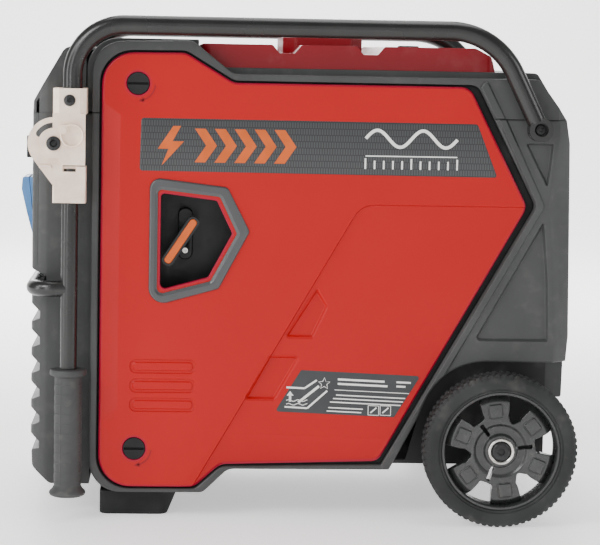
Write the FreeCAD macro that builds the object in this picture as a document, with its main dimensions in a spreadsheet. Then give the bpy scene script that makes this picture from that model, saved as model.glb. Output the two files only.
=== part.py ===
import FreeCAD, Part
import math
import os

from FreeCAD import Placement, Rotation, Vector

# Closed-frame inverter generator, millimetres, standing on the ground plane.
# +X runs from the control end to the wheel end, -Y is the recoil-starter side, +Z is up.
# The origin is on the ground, under the middle of the overall box.

doc = FreeCAD.newDocument("InverterGenerator")
sheet = doc.addObject("Spreadsheet::Sheet", "Sizes")

HALF_BODY = 213.0      # outer face of the black side shells, from the middle plane
HALF_DOOR = 215.0      # outer face of the side doors
HALF_WAIST = 190.0     # outer face of the narrower control end
TUBE_Y = 232.0         # plane of the carry tubes and of the tow handle's arms
WHEEL_X, WHEEL_Z, WHEEL_RADIUS = 269.0, 101.5, 101.5
SEAM = 535.0           # height where the upper shell meets the lower shells
PAN_FLOOR = 69.0
PIVOT_X, PIVOT_Z = -319.7, 495.0            # tow handle's pivot
PIN_RADIUS, PIN_ANGLE = 22.2, 56.6          # lock pin about that pivot, degrees from +X
RECOIL_X, RECOIL_Z, ROPE_RADIUS = -154.6, 300.0, 67.7
ROPE_Z = RECOIL_Z + ROPE_RADIUS
TOP_TUBE_Z = 649.0
LUG_X, LUG_Z = 313.4, 522.6                 # where the carry tubes are bolted to the side shells

PLANES = {"XY": ("XY_Plane", 1.0), "XZ": ("XZ_Plane", -1.0), "YZ": ("YZ_Plane", 1.0)}
rows = {}
parts = []
cuts = []


def drive(alias, value):
    """Keeps one size in the sheet under an alias and returns the expression that reads it."""
    if alias not in rows:
        rows[alias] = value
        row = len(rows)
        sheet.set("A%d" % row, alias)
        sheet.set("B%d" % row, repr(float(value)))
        sheet.setAlias("B%d" % row, alias)
    return "Sizes." + alias


def keep(name, piece):
    """Marks a document object as a sub-part that is written out under its name."""
    piece.Label = name
    parts.append(piece)
    return piece


# ---------------------------------------------------------------- outlines

def rounded(corners):
    """Line and arc edges of a closed outline from (u, v) or (u, v, radius) corners."""
    points = [Vector(c[0], c[1], 0) for c in corners]
    radii = [c[2] if len(c) > 2 else 0.0 for c in corners]
    stops, arcs = [], []
    for i, (point, radius) in enumerate(zip(points, radii)):
        back = (points[i - 1] - point).normalize()
        ahead = (points[(i + 1) % len(points)] - point).normalize()
        half = back.getAngle(ahead) / 2
        if radius == 0:
            stops.append((point, point))
            continue
        reach = radius / math.tan(half)
        start, end = point + back * reach, point + ahead * reach
        inward = (back + ahead).normalize()
        middle = point + inward * (radius / math.sin(half) - radius)
        arcs.append(Part.Arc(start, middle, end))
        stops.append((start, end))
    lines = []
    for (_, leave), (arrive, _) in zip(stops, stops[1:] + stops[:1]):
        if (leave - arrive).Length > 1e-6:
            lines.append(Part.LineSegment(leave, arrive))
    return lines + arcs


def circle(u, v, radius):
    return [Part.Circle(Vector(u, v, 0), Vector(0, 0, 1), radius)]


def rectangle(u0, u1, v0, v1, radius=0.0):
    return rounded([(u0, v0, radius), (u1, v0, radius), (u1, v1, radius), (u0, v1, radius)])


def slot(u, v, length, width, degrees):
    """A slanted bar with round corners about the point (u, v)."""
    turn = Rotation(Vector(0, 0, 1), degrees)
    corners = []
    for a, b in ((-1, -1), (1, -1), (1, 1), (-1, 1)):
        point = turn.multVec(Vector(a * length / 2, b * width / 2, 0))
        corners.append((u + point.x, v + point.y, width * 0.42))
    return rounded(corners)


def polar(u, v, radius, degrees):
    return (u + radius * math.cos(math.radians(degrees)), v + radius * math.sin(math.radians(degrees)))


def arc_slot(u, v, radius, width, start, end):
    """A slot of one width that follows an arc about (u, v) between two angles."""
    edges = []
    for edge_radius in (radius - width / 2, radius + width / 2):
        ends = [Vector(*polar(u, v, edge_radius, a), 0) for a in (start, (start + end) / 2, end)]
        edges.append(Part.Arc(*ends))
    for angle, beyond in ((start, start - 90), (end, end + 90)):
        inner = Vector(*polar(u, v, radius - width / 2, angle), 0)
        outer = Vector(*polar(u, v, radius + width / 2, angle), 0)
        centre = polar(u, v, radius, angle)
        edges.append(Part.Arc(inner, Vector(*polar(*centre, width / 2, beyond), 0), outer))
    return edges


# ---------------------------------------------------------------- bodies

class Solid:
    """A PartDesign body that grows by pads, pockets and turned profiles in the part's own frame."""

    def __init__(self, name):
        self.name = name
        self.count = 0
        self.body = doc.addObject("PartDesign::Body", name)

    def sketch(self, plane, at, outlines):
        role, sign = PLANES[plane]
        self.count += 1
        sketch = self.body.newObject("Sketcher::SketchObject", "%s_sketch%d" % (self.name, self.count))
        base = [o for o in self.body.Origin.OriginFeatures if o.Role == role][0]
        sketch.AttachmentSupport = (base, [""])
        sketch.MapMode = "FlatFace"
        sketch.AttachmentOffset = Placement(Vector(0, 0, at * sign), Rotation())
        for outline in outlines:
            sketch.addGeometry(outline, False)
        return sketch

    def extruded(self, kind, plane, start, end, outlines):
        sketch = self.sketch(plane, start, outlines)
        feature = self.body.newObject(kind, "%s_%s%d" % (self.name, kind.split("::")[1].lower(), self.count))
        feature.Profile = sketch
        alias = "%s_depth%d" % (self.name, self.count)
        feature.setExpression("Length", drive(alias, abs(end - start)))
        along = (end - start) * PLANES[plane][1] > 0
        feature.Reversed = along if kind == "PartDesign::Pocket" else not along
        return feature

    def pad(self, plane, start, end, *outlines):
        """Adds the outlines, extruded between two coordinates along the plane's normal axis."""
        self.last = self.extruded("PartDesign::Pad", plane, start, end, outlines)
        return self

    def pocket(self, plane, start, end, *outlines):
        """Cuts the outlines away between two coordinates along the plane's normal axis."""
        self.last = self.extruded("PartDesign::Pocket", plane, start, end, outlines)
        cuts.append(self.last)
        return self

    def turn(self, *outlines):
        """Turns (radius, height) outlines about the body's own Z axis."""
        sketch = self.sketch("XZ", 0.0, outlines)
        feature = self.body.newObject("PartDesign::Revolution", "%s_turned%d" % (self.name, self.count))
        feature.Profile = sketch
        feature.ReferenceAxis = (sketch, ["V_Axis"])
        feature.Angle = 360.0
        self.last = feature
        return self

    def around(self, count):
        """Repeats the last pad or pocket about the body's own Z axis."""
        source = self.last
        pattern = self.body.newObject("PartDesign::PolarPattern", "%s_around%d" % (self.name, self.count))
        pattern.Originals = [source]
        axis = [o for o in self.body.Origin.OriginFeatures if o.Role == "Z_Axis"][0]
        pattern.Axis = (axis, [""])
        pattern.Angle = 360.0
        pattern.setExpression("Occurrences", drive("%s_count%d" % (self.name, self.count), count))
        self.body.Tip = pattern
        self.last = pattern
        return self

    def sweep(self, plane, at, path, profile_plane, profile_at, *profile):
        """Runs a profile along an open path of line and arc edges."""
        spine = self.sketch(plane, at, [path])
        section = self.sketch(profile_plane, profile_at, profile)
        feature = self.body.newObject("PartDesign::AdditivePipe", "%s_pipe%d" % (self.name, self.count))
        feature.Profile = section
        feature.Spine = (spine, ["Edge%d" % (i + 1) for i in range(len(path))])
        self.last = feature
        return self

    def placed(self, x, y, z, axis=(0, 0, 1), degrees=0.0):
        self.body.Placement = Placement(Vector(x, y, z), Rotation(Vector(*axis), degrees))
        return self.body


def open_path(corners):
    """Edges of an open path: the closed outline of the same corners without its closing line."""
    edges = []
    last = Vector(corners[0][0], corners[0][1], 0)
    for i in range(1, len(corners) - 1):
        before, here, after = (Vector(c[0], c[1], 0) for c in corners[i - 1:i + 2])
        back, ahead = (before - here).normalize(), (after - here).normalize()
        half = back.getAngle(ahead) / 2
        radius = corners[i][2]
        start = here + back * (radius / math.tan(half))
        end = here + ahead * (radius / math.tan(half))
        middle = here + (back + ahead).normalize() * (radius / math.sin(half) - radius)
        edges += [Part.LineSegment(last, start), Part.Arc(start, middle, end)]
        last = end
    edges.append(Part.LineSegment(last, Vector(corners[-1][0], corners[-1][1], 0)))
    return edges


def box(name, x0, x1, y0, y1, z0, z1):
    piece = doc.addObject("Part::Box", name)
    for side, value in (("Length", x1 - x0), ("Width", y1 - y0), ("Height", z1 - z0)):
        piece.setExpression(side, drive("%s_%s" % (name, side.lower()), value))
    piece.Placement = Placement(Vector(x0, y0, z0), Rotation())
    return piece


AXES = {"X": Rotation(Vector(0, 1, 0), 90), "Y": Rotation(Vector(1, 0, 0), -90), "Z": Rotation()}


def rod(name, axis, radius, start, end):
    """A cylinder along one axis between two points that differ only on that axis."""
    piece = doc.addObject("Part::Cylinder", name)
    low, high = Vector(*start), Vector(*end)
    piece.setExpression("Radius", drive(name + "_radius", radius))
    piece.setExpression("Height", drive(name + "_length", (high - low).Length))
    piece.Placement = Placement(low, AXES[axis])
    return piece


def fuse(name, *pieces):
    joined = doc.addObject("Part::MultiFuse", name)
    joined.Shapes = list(pieces)
    return joined


def cut(name, base, *tools):
    tool = tools[0] if len(tools) == 1 else fuse(name + "_tools", *tools)
    result = doc.addObject("Part::Cut", name)
    result.Base, result.Tool = base, tool
    cuts.append(result)
    return result


def common(name, a, b):
    result = doc.addObject("Part::MultiCommon", name)
    result.Shapes = [a, b]
    return result


def mirrored(name, source):
    """The same piece on the +Y side."""
    twin = doc.addObject("Part::Mirroring", name)
    twin.Source = source
    twin.Normal, twin.Base = Vector(0, 1, 0), Vector(0, 0, 0)
    return twin


def group(name, *pieces):
    """Identical separate solids that share one node."""
    together = doc.addObject("Part::Compound", name)
    together.Links = list(pieces)
    return together


def both_sides(stem, near):
    keep(stem + "_near", near)
    keep(stem + "_far", mirrored(stem + "_far", near))


# ---------------------------------------------------------------- outlines shared by several parts

DOOR = [(-259.5, 613.5, 42), (-259.5, 41, 42), (-132, 41, 14), (-98, 71.5, 22), (111.6, 77.5, 16),
        (302.2, 419.1, 18), (222, 576.5, 20), (-88, 576.5, 22), (-151, 614.5, 20)]
DOOR_GAP = [(-262, 616, 43), (-262, 39, 43), (-131, 39, 14), (-97.5, 69.3, 22), (116, 73.5, 3),
            (313, 421, 14), (232.5, 579, 16), (-87, 579, 22), (-150, 617, 20)]
BEZEL_OUTER = [(-196, 452, 14), (-94, 440, 8), (-64, 382, 6), (-104, 306, 6), (-196, 280, 20)]
BEZEL_INNER = [(-185, 436, 5), (-104, 427, 4), (-81, 379, 4), (-115, 316, 4), (-185, 297.5, 7)]
DOOR_HOLE = [(-181, 431, 5), (-108, 422, 4), (-87, 379, 4), (-118, 321, 4), (-181, 303.5, 7)]
CUP = [(-187, 443, 10), (-99, 433, 6), (-73, 381, 5), (-109, 311, 6), (-187, 289, 14)]
SHELL_TURN = [(340, -214), (367, -214), (367, -186)]      # plan view of the bevel on the rear corners


def shell_turns(solid):
    """Bevels the near and far rear corners of a full-width body."""
    solid.pocket("XY", 40.0, 640.0, rounded(SHELL_TURN))
    solid.pocket("XY", 40.0, 640.0, rounded([(x, -y) for x, y in SHELL_TURN]))


# ---------------------------------------------------------------- chassis, feet and axle

def chassis():
    pan = Solid("base_pan")
    pan.pad("XY", PAN_FLOOR, PAN_FLOOR + 5, rectangle(-270, 338, -176, 176, 10))
    for side in (-1, 1):
        pan.pad("XZ", side * 176, side * 172, rounded([(150, 69), (338, 69), (338, 212), (190, 212)]))
    pan.pad("XY", PAN_FLOOR, 33, rectangle(-258, -125, -176, 176, 8))
    pan.pocket("XY", PAN_FLOOR + 5, 36, rectangle(-255, -128, -173, 173, 6))
    pan.pocket("XZ", -180, 180, circle(WHEEL_X, WHEEL_Z, 8.0))
    keep("base_pan", pan.body)

    foot = Solid("foot")
    bottom = foot.sketch("XY", 0.0, [rectangle(-258, -168, -194, -145, 12)])
    top = foot.sketch("XY", 33.0, [rectangle(-257.9, -155, -199, -140, 12)])
    loft = foot.body.newObject("PartDesign::AdditiveLoft", "foot_loft")
    loft.Profile, loft.Sections = bottom, [top]
    keep("feet", group("feet", foot.body, mirrored("foot_far", foot.body)))

    axle = Solid("axle")
    axle.turn(rectangle(0, 8.0, -262, 262))
    axle.turn(rectangle(0, 12.5, -267, -262.0))
    axle.turn(rectangle(0, 12.5, 262.0, 267))
    keep("axle", axle.placed(WHEEL_X, 0, WHEEL_Z, (1, 0, 0), 90))


def wheels():
    tyre = Solid("tyre")
    tyre.turn(rounded([(78.3, -21), (92, -23, 5), (101.5, -19, 7), (101.5, 19, 7), (92, 23, 5), (78.3, 21)]))
    rim = Solid("rim")
    rim.turn(rounded([(74, -20), (78.3, -20), (78.3, 20), (74, 20)]))
    rim.pad("XY", 5, 15, rectangle(0, 76, -19, 19)).around(6)
    rim.pad("XY", -20, 20, circle(0, 0, 26))
    rim.pad("XY", 15, 18, rectangle(47, 65, -9, 9, 3)).around(6)
    rim.pocket("XY", 21, 4, rectangle(21, 36, -2, 2))
    rim.pocket("XY", 25, -25, circle(0, 0, 8.06))
    for side, stem in ((-1, "near"), (1, "far")):
        for source in (tyre, rim):
            twin = doc.addObject("Part::Mirroring", "%s_flipped_%s" % (source.name, stem)) if side > 0 else None
            if twin:
                twin.Source = source.body
                twin.Normal, twin.Base = Vector(0, 0, 1), Vector(0, 0, 0)
            piece = twin or source.body
            copy = doc.addObject("Part::Compound", "%s_%s" % (source.name, stem))
            copy.Links = [piece]
            turn = Rotation(Vector(1, 0, 0), 90).multiply(Rotation(Vector(0, 0, 1), 38))
            copy.Placement = Placement(Vector(WHEEL_X, side * 242, WHEEL_Z), turn)
            keep("%s_%s" % (source.name, stem), copy)


# ---------------------------------------------------------------- shells

def side_shells():
    arch = [polar(WHEEL_X, WHEEL_Z, 111.5, a) for a in (161, 90)]
    shell = Solid("side_shell")
    outline = [(-272, SEAM), (-272, 33, 42), (-121, 33.5, 12), (-88, 65.5, 20), (126.5, 66.5), arch[0],
               (WHEEL_X - 77, 213, 88), (362, 213), (365, 247), (364, 324), (359, 504), (353, SEAM)]
    shell.pad("XZ", -HALF_BODY, -150, rounded(outline))
    shell.pocket("XZ", -150, -176.5, rounded([(-300, 10), (370, 10), (370, 212.9), (246, 212.9), (246, 560),
                                              (-300, 560)]))
    shell.pocket("XZ", -HALF_BODY, -150, rounded(DOOR_GAP))
    shell.pocket("XZ", -150, -204, rounded([(196, 219), (355, 219), (356, 320), (350, 500), (348, 529),
                                            (262, 529), (319, 421)]))
    shell.pocket("XZ", -HALF_BODY, -209, rounded([(232, 240, 6), (336, 240, 4), (336, 496, 4), (297, 496, 4),
                                                  (333, 424)]))
    shell.pocket("XY", 40.0, 640.0, rounded(SHELL_TURN))
    shell.pad("XZ", -HALF_BODY, -216, rounded([(113.4, 66.6), (313, 421, 14), (256, SEAM), (270, SEAM),
                                               (327, 421, 14), (127, 66.6)]))
    shell.pad("XZ", -204, -219.0, circle(LUG_X, LUG_Z, 12.2))
    shell.pocket("XZ", -230, -206, circle(LUG_X, LUG_Z, 4.1))
    both_sides("side_shell", shell.body)


def upper_shell():
    shell = Solid("upper_shell")
    rail = [(-272, SEAM), (353, SEAM), (314, 587.5, 8), (-88, 587.5, 18), (-142, 630, 15), (-272, 627, 40)]
    crown = [(-280, SEAM), (352, SEAM), (314, 596, 8), (-134, 596), (-134, 632), (-280, 632, 42)]
    shell.pad("XZ", -HALF_BODY, HALF_BODY, rounded(rail))
    shell.pad("XZ", -189, 189, rounded(crown))
    shell.pocket("XZ", -186.5, 186.5, rounded([(-134, 596), (-134, 640), (-60, 640), (-60, 596)]))
    shell.pocket("XZ", -185, 185, rounded([(-276, 500), (345, 500), (345, 540), (311, 590), (-138, 590),
                                           (-138, 628), (-276, 628, 38)]))
    shell.pocket("XZ", -208, -180, rounded([(240, 500), (345, 500), (345, 540), (311, 583), (240, 583)]))
    shell.pocket("XZ", 208, 180, rounded([(240, 500), (345, 500), (345, 540), (311, 583), (240, 583)]))
    for low, high in ((-HALF_BODY - 1, -190), (190, HALF_BODY + 1)):
        shell.pocket("XZ", low, high, rounded(DOOR_GAP))
    shell.pocket("XY", 600, 585, rectangle(-122, 246, -172, 172, 12))
    shell_turns(shell)
    keep("upper_shell", shell.body)


def louvre_edge():
    """The toothed lower edge of the control end, one tooth per pitch, from the top down."""
    pitch, teeth, tip, valley = 34.8, 6, -351.0, -339.0
    points = []
    for i in range(teeth):
        top = 290.0 - i * pitch
        points += [(tip, top), (tip, top - 10), (valley, top - 20), (valley, top - 29)]
    return points


def control_end():
    shell = Solid("control_shell_side")
    shell.pad("XZ", -HALF_WAIST, HALF_WAIST, rounded(
        [(-272.3, SEAM - 3), (-351, SEAM - 3), (-351, 326, 4), (-331, 319, 3), (-331, 292, 3)] + louvre_edge()
        + [(-350, 84, 4), (-349, 62, 10), (-325, 40, 10), (-272.3, 40)]))
    plan = Solid("control_shell_plan")
    plan.pad("XY", 30, 620, rectangle(-352, -200, -HALF_WAIST, HALF_WAIST, 24))
    rough = common("control_shell_rough", shell.body, plan.body)
    hollow = Solid("control_shell_hollow")
    hollow.pad("XZ", -185, 185, rounded([(-250, 560), (-343, 560), (-343, 334), (-325, 328), (-325, 60),
                                         (-312, 46), (-250, 46)]))
    window = Solid("control_shell_window")
    window.pad("YZ", -360, -340, rectangle(-145, 145, 340, 517, 8))
    keep("control_shell", cut("control_shell", rough, hollow.body, window.body))

    cap_side = Solid("control_cap_side")
    cap_side.pad("XZ", -HALF_WAIST, HALF_WAIST, rounded(
        [(-280.5, SEAM - 3), (-351, SEAM - 3), (-350, 548, 8), (-309, 619, 14), (-280.5, 622)]))
    cap = common("control_cap_rough", cap_side.body, plan.body)
    cap_hollow = Solid("control_cap_hollow")
    cap_hollow.pad("XZ", -185, 185, rounded([(-250, 520), (-346, 520), (-346, 546), (-306, 614), (-250, 616)]))
    keep("control_cap", cut("control_cap", cap, cap_hollow.body))


def rear_panel():
    panel = Solid("rear_panel")
    panel.pad("XZ", -149.5, 149.5, rounded([(353, SEAM), (357, 526), (359, 504), (364, 324), (365, 247),
                                            (362, 213), (356, 213), (359, 247), (358, 324), (353, 504), (346, SEAM)]))
    panel.pad("XZ", -171.5, 171.5, rounded([(362, 212.9), (361, 161, 3), (338.5, 161), (338.5, 212.9)]))
    panel.pocket("XZ", -165, 165, rounded([(355, 206), (355, 167), (330, 167), (330, 206)]))
    panel.pocket("YZ", 340, 370, circle(70, 380, 25))
    panel.pocket("YZ", 340, 370, *[rectangle(-120, 10, z, z + 9, 4) for z in range(300, 460, 20)])
    keep("rear_panel", panel.body)

    outlet = Solid("exhaust_outlet")
    outlet.turn(rounded([(18, 0), (22, 0), (22, 33.4), (30, 33.4), (30, 36), (24, 38.5, 2), (18, 38.5)]))
    keep("exhaust_outlet", outlet.placed(331, 70, 380, (0, 1, 0), 90))


def tank():
    side = Solid("tank_cover_side")
    side.pad("XZ", -186, 186, rounded(
        [(-132, 596), (-132, 627, 5), (-37, 627, 4), (-28, 616, 3), (-8, 616, 3), (1, 627, 4), (74, 627, 4),
         (83, 616, 3), (102, 616, 3), (111, 627, 4), (232, 627, 10), (253, 616, 8), (259, 596)]))
    plan = Solid("tank_cover_plan")
    plan.pad("XY", 590, 640, rectangle(-132, 260, -186, 186, 14))
    cover = common("tank_cover_rough", side.body, plan.body)
    plateau = Solid("tank_cover_plateau")
    plateau.pad("XY", 605, 637, rounded([(-4, -112, 8), (72, -112, 8), (88, -90, 8), (88, 90, 8), (72, 112, 8),
                                         (-4, 112, 8), (-20, 90, 8), (-20, -90, 8)]))
    whole = fuse("tank_cover_whole", cover, plateau.body)
    hollow = box("tank_cover_hollow", -127, 250, -181, 181, 590, 611)
    dome = box("tank_cover_dome", -14, 82, -88, 88, 600, 632)
    neck = rod("tank_cover_neck", "Z", 29.5, (34, 0, 600), (34, 0, 650))
    keep("tank_cover", cut("tank_cover", whole, hollow, dome, neck))

    outer = box("fuel_tank_outer", -116, 240, -165, 165, 500, 588)
    neck_wall = rod("fuel_neck_outer", "Z", 28.0, (34, 0, 580), (34, 0, 637))
    inner = box("fuel_tank_inner", -113, 237, -162, 162, 503, 585)
    neck_bore = rod("fuel_neck_inner", "Z", 24.4, (34, 0, 570), (34, 0, 640))
    keep("fuel_tank", cut("fuel_tank", fuse("fuel_tank_walls", outer, neck_wall), inner, neck_bore))

    cap = Solid("fuel_cap")
    cap.turn(rounded([(0, -16), (24.2, -16), (24.2, 0.4), (40, 0.4, 2), (40, 18, 4), (0, 20)]))
    cap.pad("XY", 18, 22, rectangle(-34, 34, -7, 7, 5))
    keep("fuel_cap", cap.placed(34, 0, 637))


# ---------------------------------------------------------------- side doors

def door(name):
    plate = Solid(name)
    plate.pad("XZ", -HALF_DOOR, -207, rounded(DOOR))
    plate.pocket("XZ", -HALF_DOOR, -HALF_DOOR + 1.5,
                 rounded([(330, 419.5), (82, 419.5, 30), (-148, 18), (330, 18)]))
    plate.pocket("XZ", -HALF_DOOR, -211, rounded([(26, 310.5, 3), (42, 284.5, 6), (22, 241.5, 5), (-17, 241.5, 4)]))
    plate.pocket("XZ", -HALF_DOOR, -211, rounded([(-36, 218.5, 3), (7, 218.5, 5), (-27, 158, 6), (-69, 158, 4)]))
    plate.pocket("XZ", -HALF_DOOR, -213.5, *[rectangle(-219, -133, z - 9, z + 9, 8) for z in (151, 176.5, 202)])
    return plate


def latch(name, z, x=-212.5):
    """A quarter-turn latch: round head with a coin slot, shank and a cam behind the door."""
    piece = Solid(name)
    piece.pad("XZ", -216, -208.5, circle(x, z, 14.2))
    piece.pad("XZ", -208.5, -198, circle(x, z, 7))
    piece.pad("XZ", -203, -199, rounded([(x - 27, z - 6, 4), (x + 8, z - 6, 4), (x + 8, z + 6, 4), (x - 27, z + 6, 4)]))
    piece.pocket("XZ", -216, -212, rectangle(x - 13, x + 13, z - 1.6, z + 1.6))
    return piece.body


LATCH_HEIGHTS = {"top": 573.5, "bottom": 92.4}


def doors():
    near = door("door_near")
    near.pocket("XZ", -HALF_DOOR, -200, rounded(DOOR_HOLE))
    far = door("door_far_side")
    for z in LATCH_HEIGHTS.values():
        near.pocket("XZ", -HALF_DOOR, -208.3, circle(-212.5, z, 14.6))
        near.pocket("XZ", -HALF_DOOR, -200, circle(-212.5, z, 7.3))
    far.pocket("XZ", -HALF_DOOR, -208.3, circle(-212.5, 573.5, 14.6))
    far.pocket("XZ", -HALF_DOOR, -200, circle(-212.5, 573.5, 7.3))
    far.pocket("XZ", -HALF_DOOR, -200, *[rectangle(-190, -75, z, z + 8, 3.5) for z in range(300, 440, 20)])
    keep("door_near", near.body)
    keep("door_far", mirrored("door_far", far.body))
    for place, z in LATCH_HEIGHTS.items():
        keep("latch_near_" + place, latch("latch_near_" + place, z))
    keep("latch_far", mirrored("latch_far", latch("latch_far_side", LATCH_HEIGHTS["top"])))

    bezel = Solid("recoil_bezel")
    bezel.pad("XZ", -HALF_DOOR, -218, rounded(BEZEL_OUTER), rounded(BEZEL_INNER))
    keep("recoil_bezel", bezel.body)


# ---------------------------------------------------------------- recoil starter

def recoil():
    cup = Solid("recoil_cup")
    cup.pad("XZ", -206.5, -148, rounded(CUP))
    inner = [(-183.5, 438.5, 7), (-101.5, 429.5, 4), (-77, 381, 4), (-111.5, 315, 4), (-183.5, 293.5, 11)]
    cup.pocket("XZ", -206.5, -151, rounded(inner))
    cup.pocket("XZ", -160, -140, circle(RECOIL_X, ROPE_Z, 3.6))
    keep("recoil_cup", cup.body)

    pull = Solid("starter_handle")
    pull.pad("XZ", -213, -192, slot(RECOIL_X, ROPE_Z, 74, 16, 57))
    pull.pad("XZ", -192, -152, circle(RECOIL_X, ROPE_Z, 5.5))
    pull.pocket("XZ", -213, -211, slot(RECOIL_X, ROPE_Z, 68, 10.5, 57))
    keep("starter_handle", pull.body)
    keep("starter_rope", rod("starter_rope", "Y", 1.75, (RECOIL_X, -152, ROPE_Z), (RECOIL_X, 0, ROPE_Z)))

    pulley = Solid("recoil_pulley")
    pulley.turn(rounded([(8.05, -8), (73, -8), (73, -3), (65.5, -3), (65.5, 3), (73, 3), (73, 8), (8.05, 8)]))
    pulley.pocket("XY", -10, 10, circle(38, 0, 15)).around(5)
    keep("recoil_pulley", pulley.placed(RECOIL_X, 0, RECOIL_Z, (0, 1, 0), 90))

    def along_x(name, radius, x0, x1, y=0.0, z=RECOIL_Z):
        return rod(name, "X", radius, (x0, y, z), (x1, y, z))

    guide = rod("recoil_guide", "Y", 8.5, (RECOIL_X, -148, ROPE_Z), (RECOIL_X, -45, ROPE_Z))
    bore = rod("recoil_guide_bore", "Y", 4.0, (RECOIL_X, -150, ROPE_Z), (RECOIL_X, -40, ROPE_Z))
    legs = []
    for i, angle in enumerate((90, 210, 330)):
        y, z = polar(0, RECOIL_Z, 118, angle)
        legs.append(along_x("recoil_leg%d" % i, 6.0, -178, -60, y, z))
        arm = box("recoil_arm%d" % i, -4, 4, 84, 118, -8, 8)
        turn = Rotation(Vector(1, 0, 0), angle)
        arm.Placement = Placement(Vector(-174, 0, RECOIL_Z) + turn.multVec(Vector(-4, 84, -8)), turn)
        legs.append(arm)
    walls = fuse("recoil_walls", along_x("recoil_wall_outer", 92, -178, -146), guide, *legs)
    hollow = cut("recoil_hollow", walls, along_x("recoil_wall_inner", 89, -175, -140), bore)
    keep("recoil_housing", fuse("recoil_housing", hollow, along_x("recoil_spindle", 8.0, -176, -147)))


# ---------------------------------------------------------------- engine, battery and inverter

def machinery():
    rotor = Solid("rotor")
    rotor.turn(rounded([(0, 0), (104, 0), (104, 30), (97, 30), (97, 6), (24, 6), (24, 14), (12, 14), (12, 80), (0, 80)]))
    rotor.pad("XY", 0.0, -11.0, rectangle(40, 100, -1.5, 1.5)).around(12)
    keep("rotor", rotor.placed(-130, 0, RECOIL_Z, (0, 1, 0), 90))

    block = box("crankcase_block", -60, 95, -110, 110, 180, 425)
    sump = box("crankcase_sump", -50, 85, -95, 95, 105, 185)
    filler = rod("crankcase_filler", "Y", 18, (62, -130, 215), (62, -100, 215))
    shaft_hole = rod("crankcase_shaft_hole", "X", 12.06, (-70, 0, RECOIL_Z), (-45, 0, RECOIL_Z))
    filler_hole = rod("crankcase_filler_hole", "Y", 10.5, (62, -140, 215), (62, -60, 215))
    keep("crankcase", cut("crankcase", fuse("crankcase_cast", block, sump, filler), shaft_hole, filler_hole))
    fins = [box("cylinder_fin%d" % i, 102 + 10 * i, 105 + 10 * i, -66, 66, 232, 398) for i in range(9)]
    barrel = box("cylinder_barrel", 95, 190, -52, 52, 246, 384)
    head = box("cylinder_head", 190, 212, -66, 66, 232, 398)
    keep("cylinder", fuse("cylinder", barrel, head, *fins))
    dipstick = Solid("oil_dipstick")
    dipstick.turn(rounded([(0, -12), (17, -12, 2), (17, 0), (10.3, 0), (10.3, 20), (3, 20), (3, 64), (0, 64)]))
    keep("oil_dipstick", dipstick.placed(62, -130.3, 215, (1, 0, 0), -90))

    muffler = Solid("muffler_can")
    muffler.pad("YZ", 222, 331, rectangle(-125, 125, 245, 470, 30))
    inside = Solid("muffler_inside")
    inside.pad("YZ", 224, 329, rectangle(-123, 123, 247, 468, 28))
    keep("muffler", cut("muffler", muffler.body, inside.body))
    cleaner = Solid("air_cleaner")
    cleaner.pad("XY", 430, 492, rectangle(-50, 85, 25, 155, 18))
    keep("air_cleaner", cleaner.body)
    module = Solid("inverter_module")
    module.pad("YZ", -322, -300, rectangle(-150, 150, 96, 280, 6))
    module.pad("YZ", -300, -282, *[rectangle(y, y + 4, 100, 276) for y in range(-146, 146, 16)])
    keep("inverter_module", module.body)
    battery = Solid("battery")
    battery.pad("XY", 36, 150, rectangle(-250, -150, 20, 160, 5))
    battery.pad("XY", 150, 160, circle(-235, 40, 6), circle(-235, 140, 6))
    keep("battery", battery.body)
    mounts = [rod("rubber_mount%d" % i, "Z", 16, (x, y, 74), (x, y, 105))
              for i, (x, y) in enumerate(((-35, -75), (-35, 75), (70, -75), (70, 75)))]
    keep("rubber_mounts", group("rubber_mounts", *mounts))


# ---------------------------------------------------------------- carry tubes and tow handle

def carry_tubes():
    tube = Solid("carry_tube_pipe")
    path = open_path([(-296.4, 536), (-296.4, TOP_TUBE_Z, 66), (251.1, TOP_TUBE_Z, 95), (308.3, 533)])
    tube.sweep("XZ", -TUBE_Y, path, "XY", 536, circle(-296.4, -TUBE_Y, 12.7), circle(-296.4, -TUBE_Y, 10.7))
    lug = rod("carry_tube_lug", "Y", 15.8, (LUG_X, -243, LUG_Z), (LUG_X, -219.1, LUG_Z))
    sink = rod("carry_tube_sink", "Y", 9.0, (LUG_X, -250, LUG_Z), (LUG_X, -233, LUG_Z))
    hole = rod("carry_tube_hole", "Y", 4.2, (LUG_X, -250, LUG_Z), (LUG_X, -210, LUG_Z))
    both_sides("carry_tube", cut("carry_tube", fuse("carry_tube_raw", tube.body, lug), sink, hole))


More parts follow.
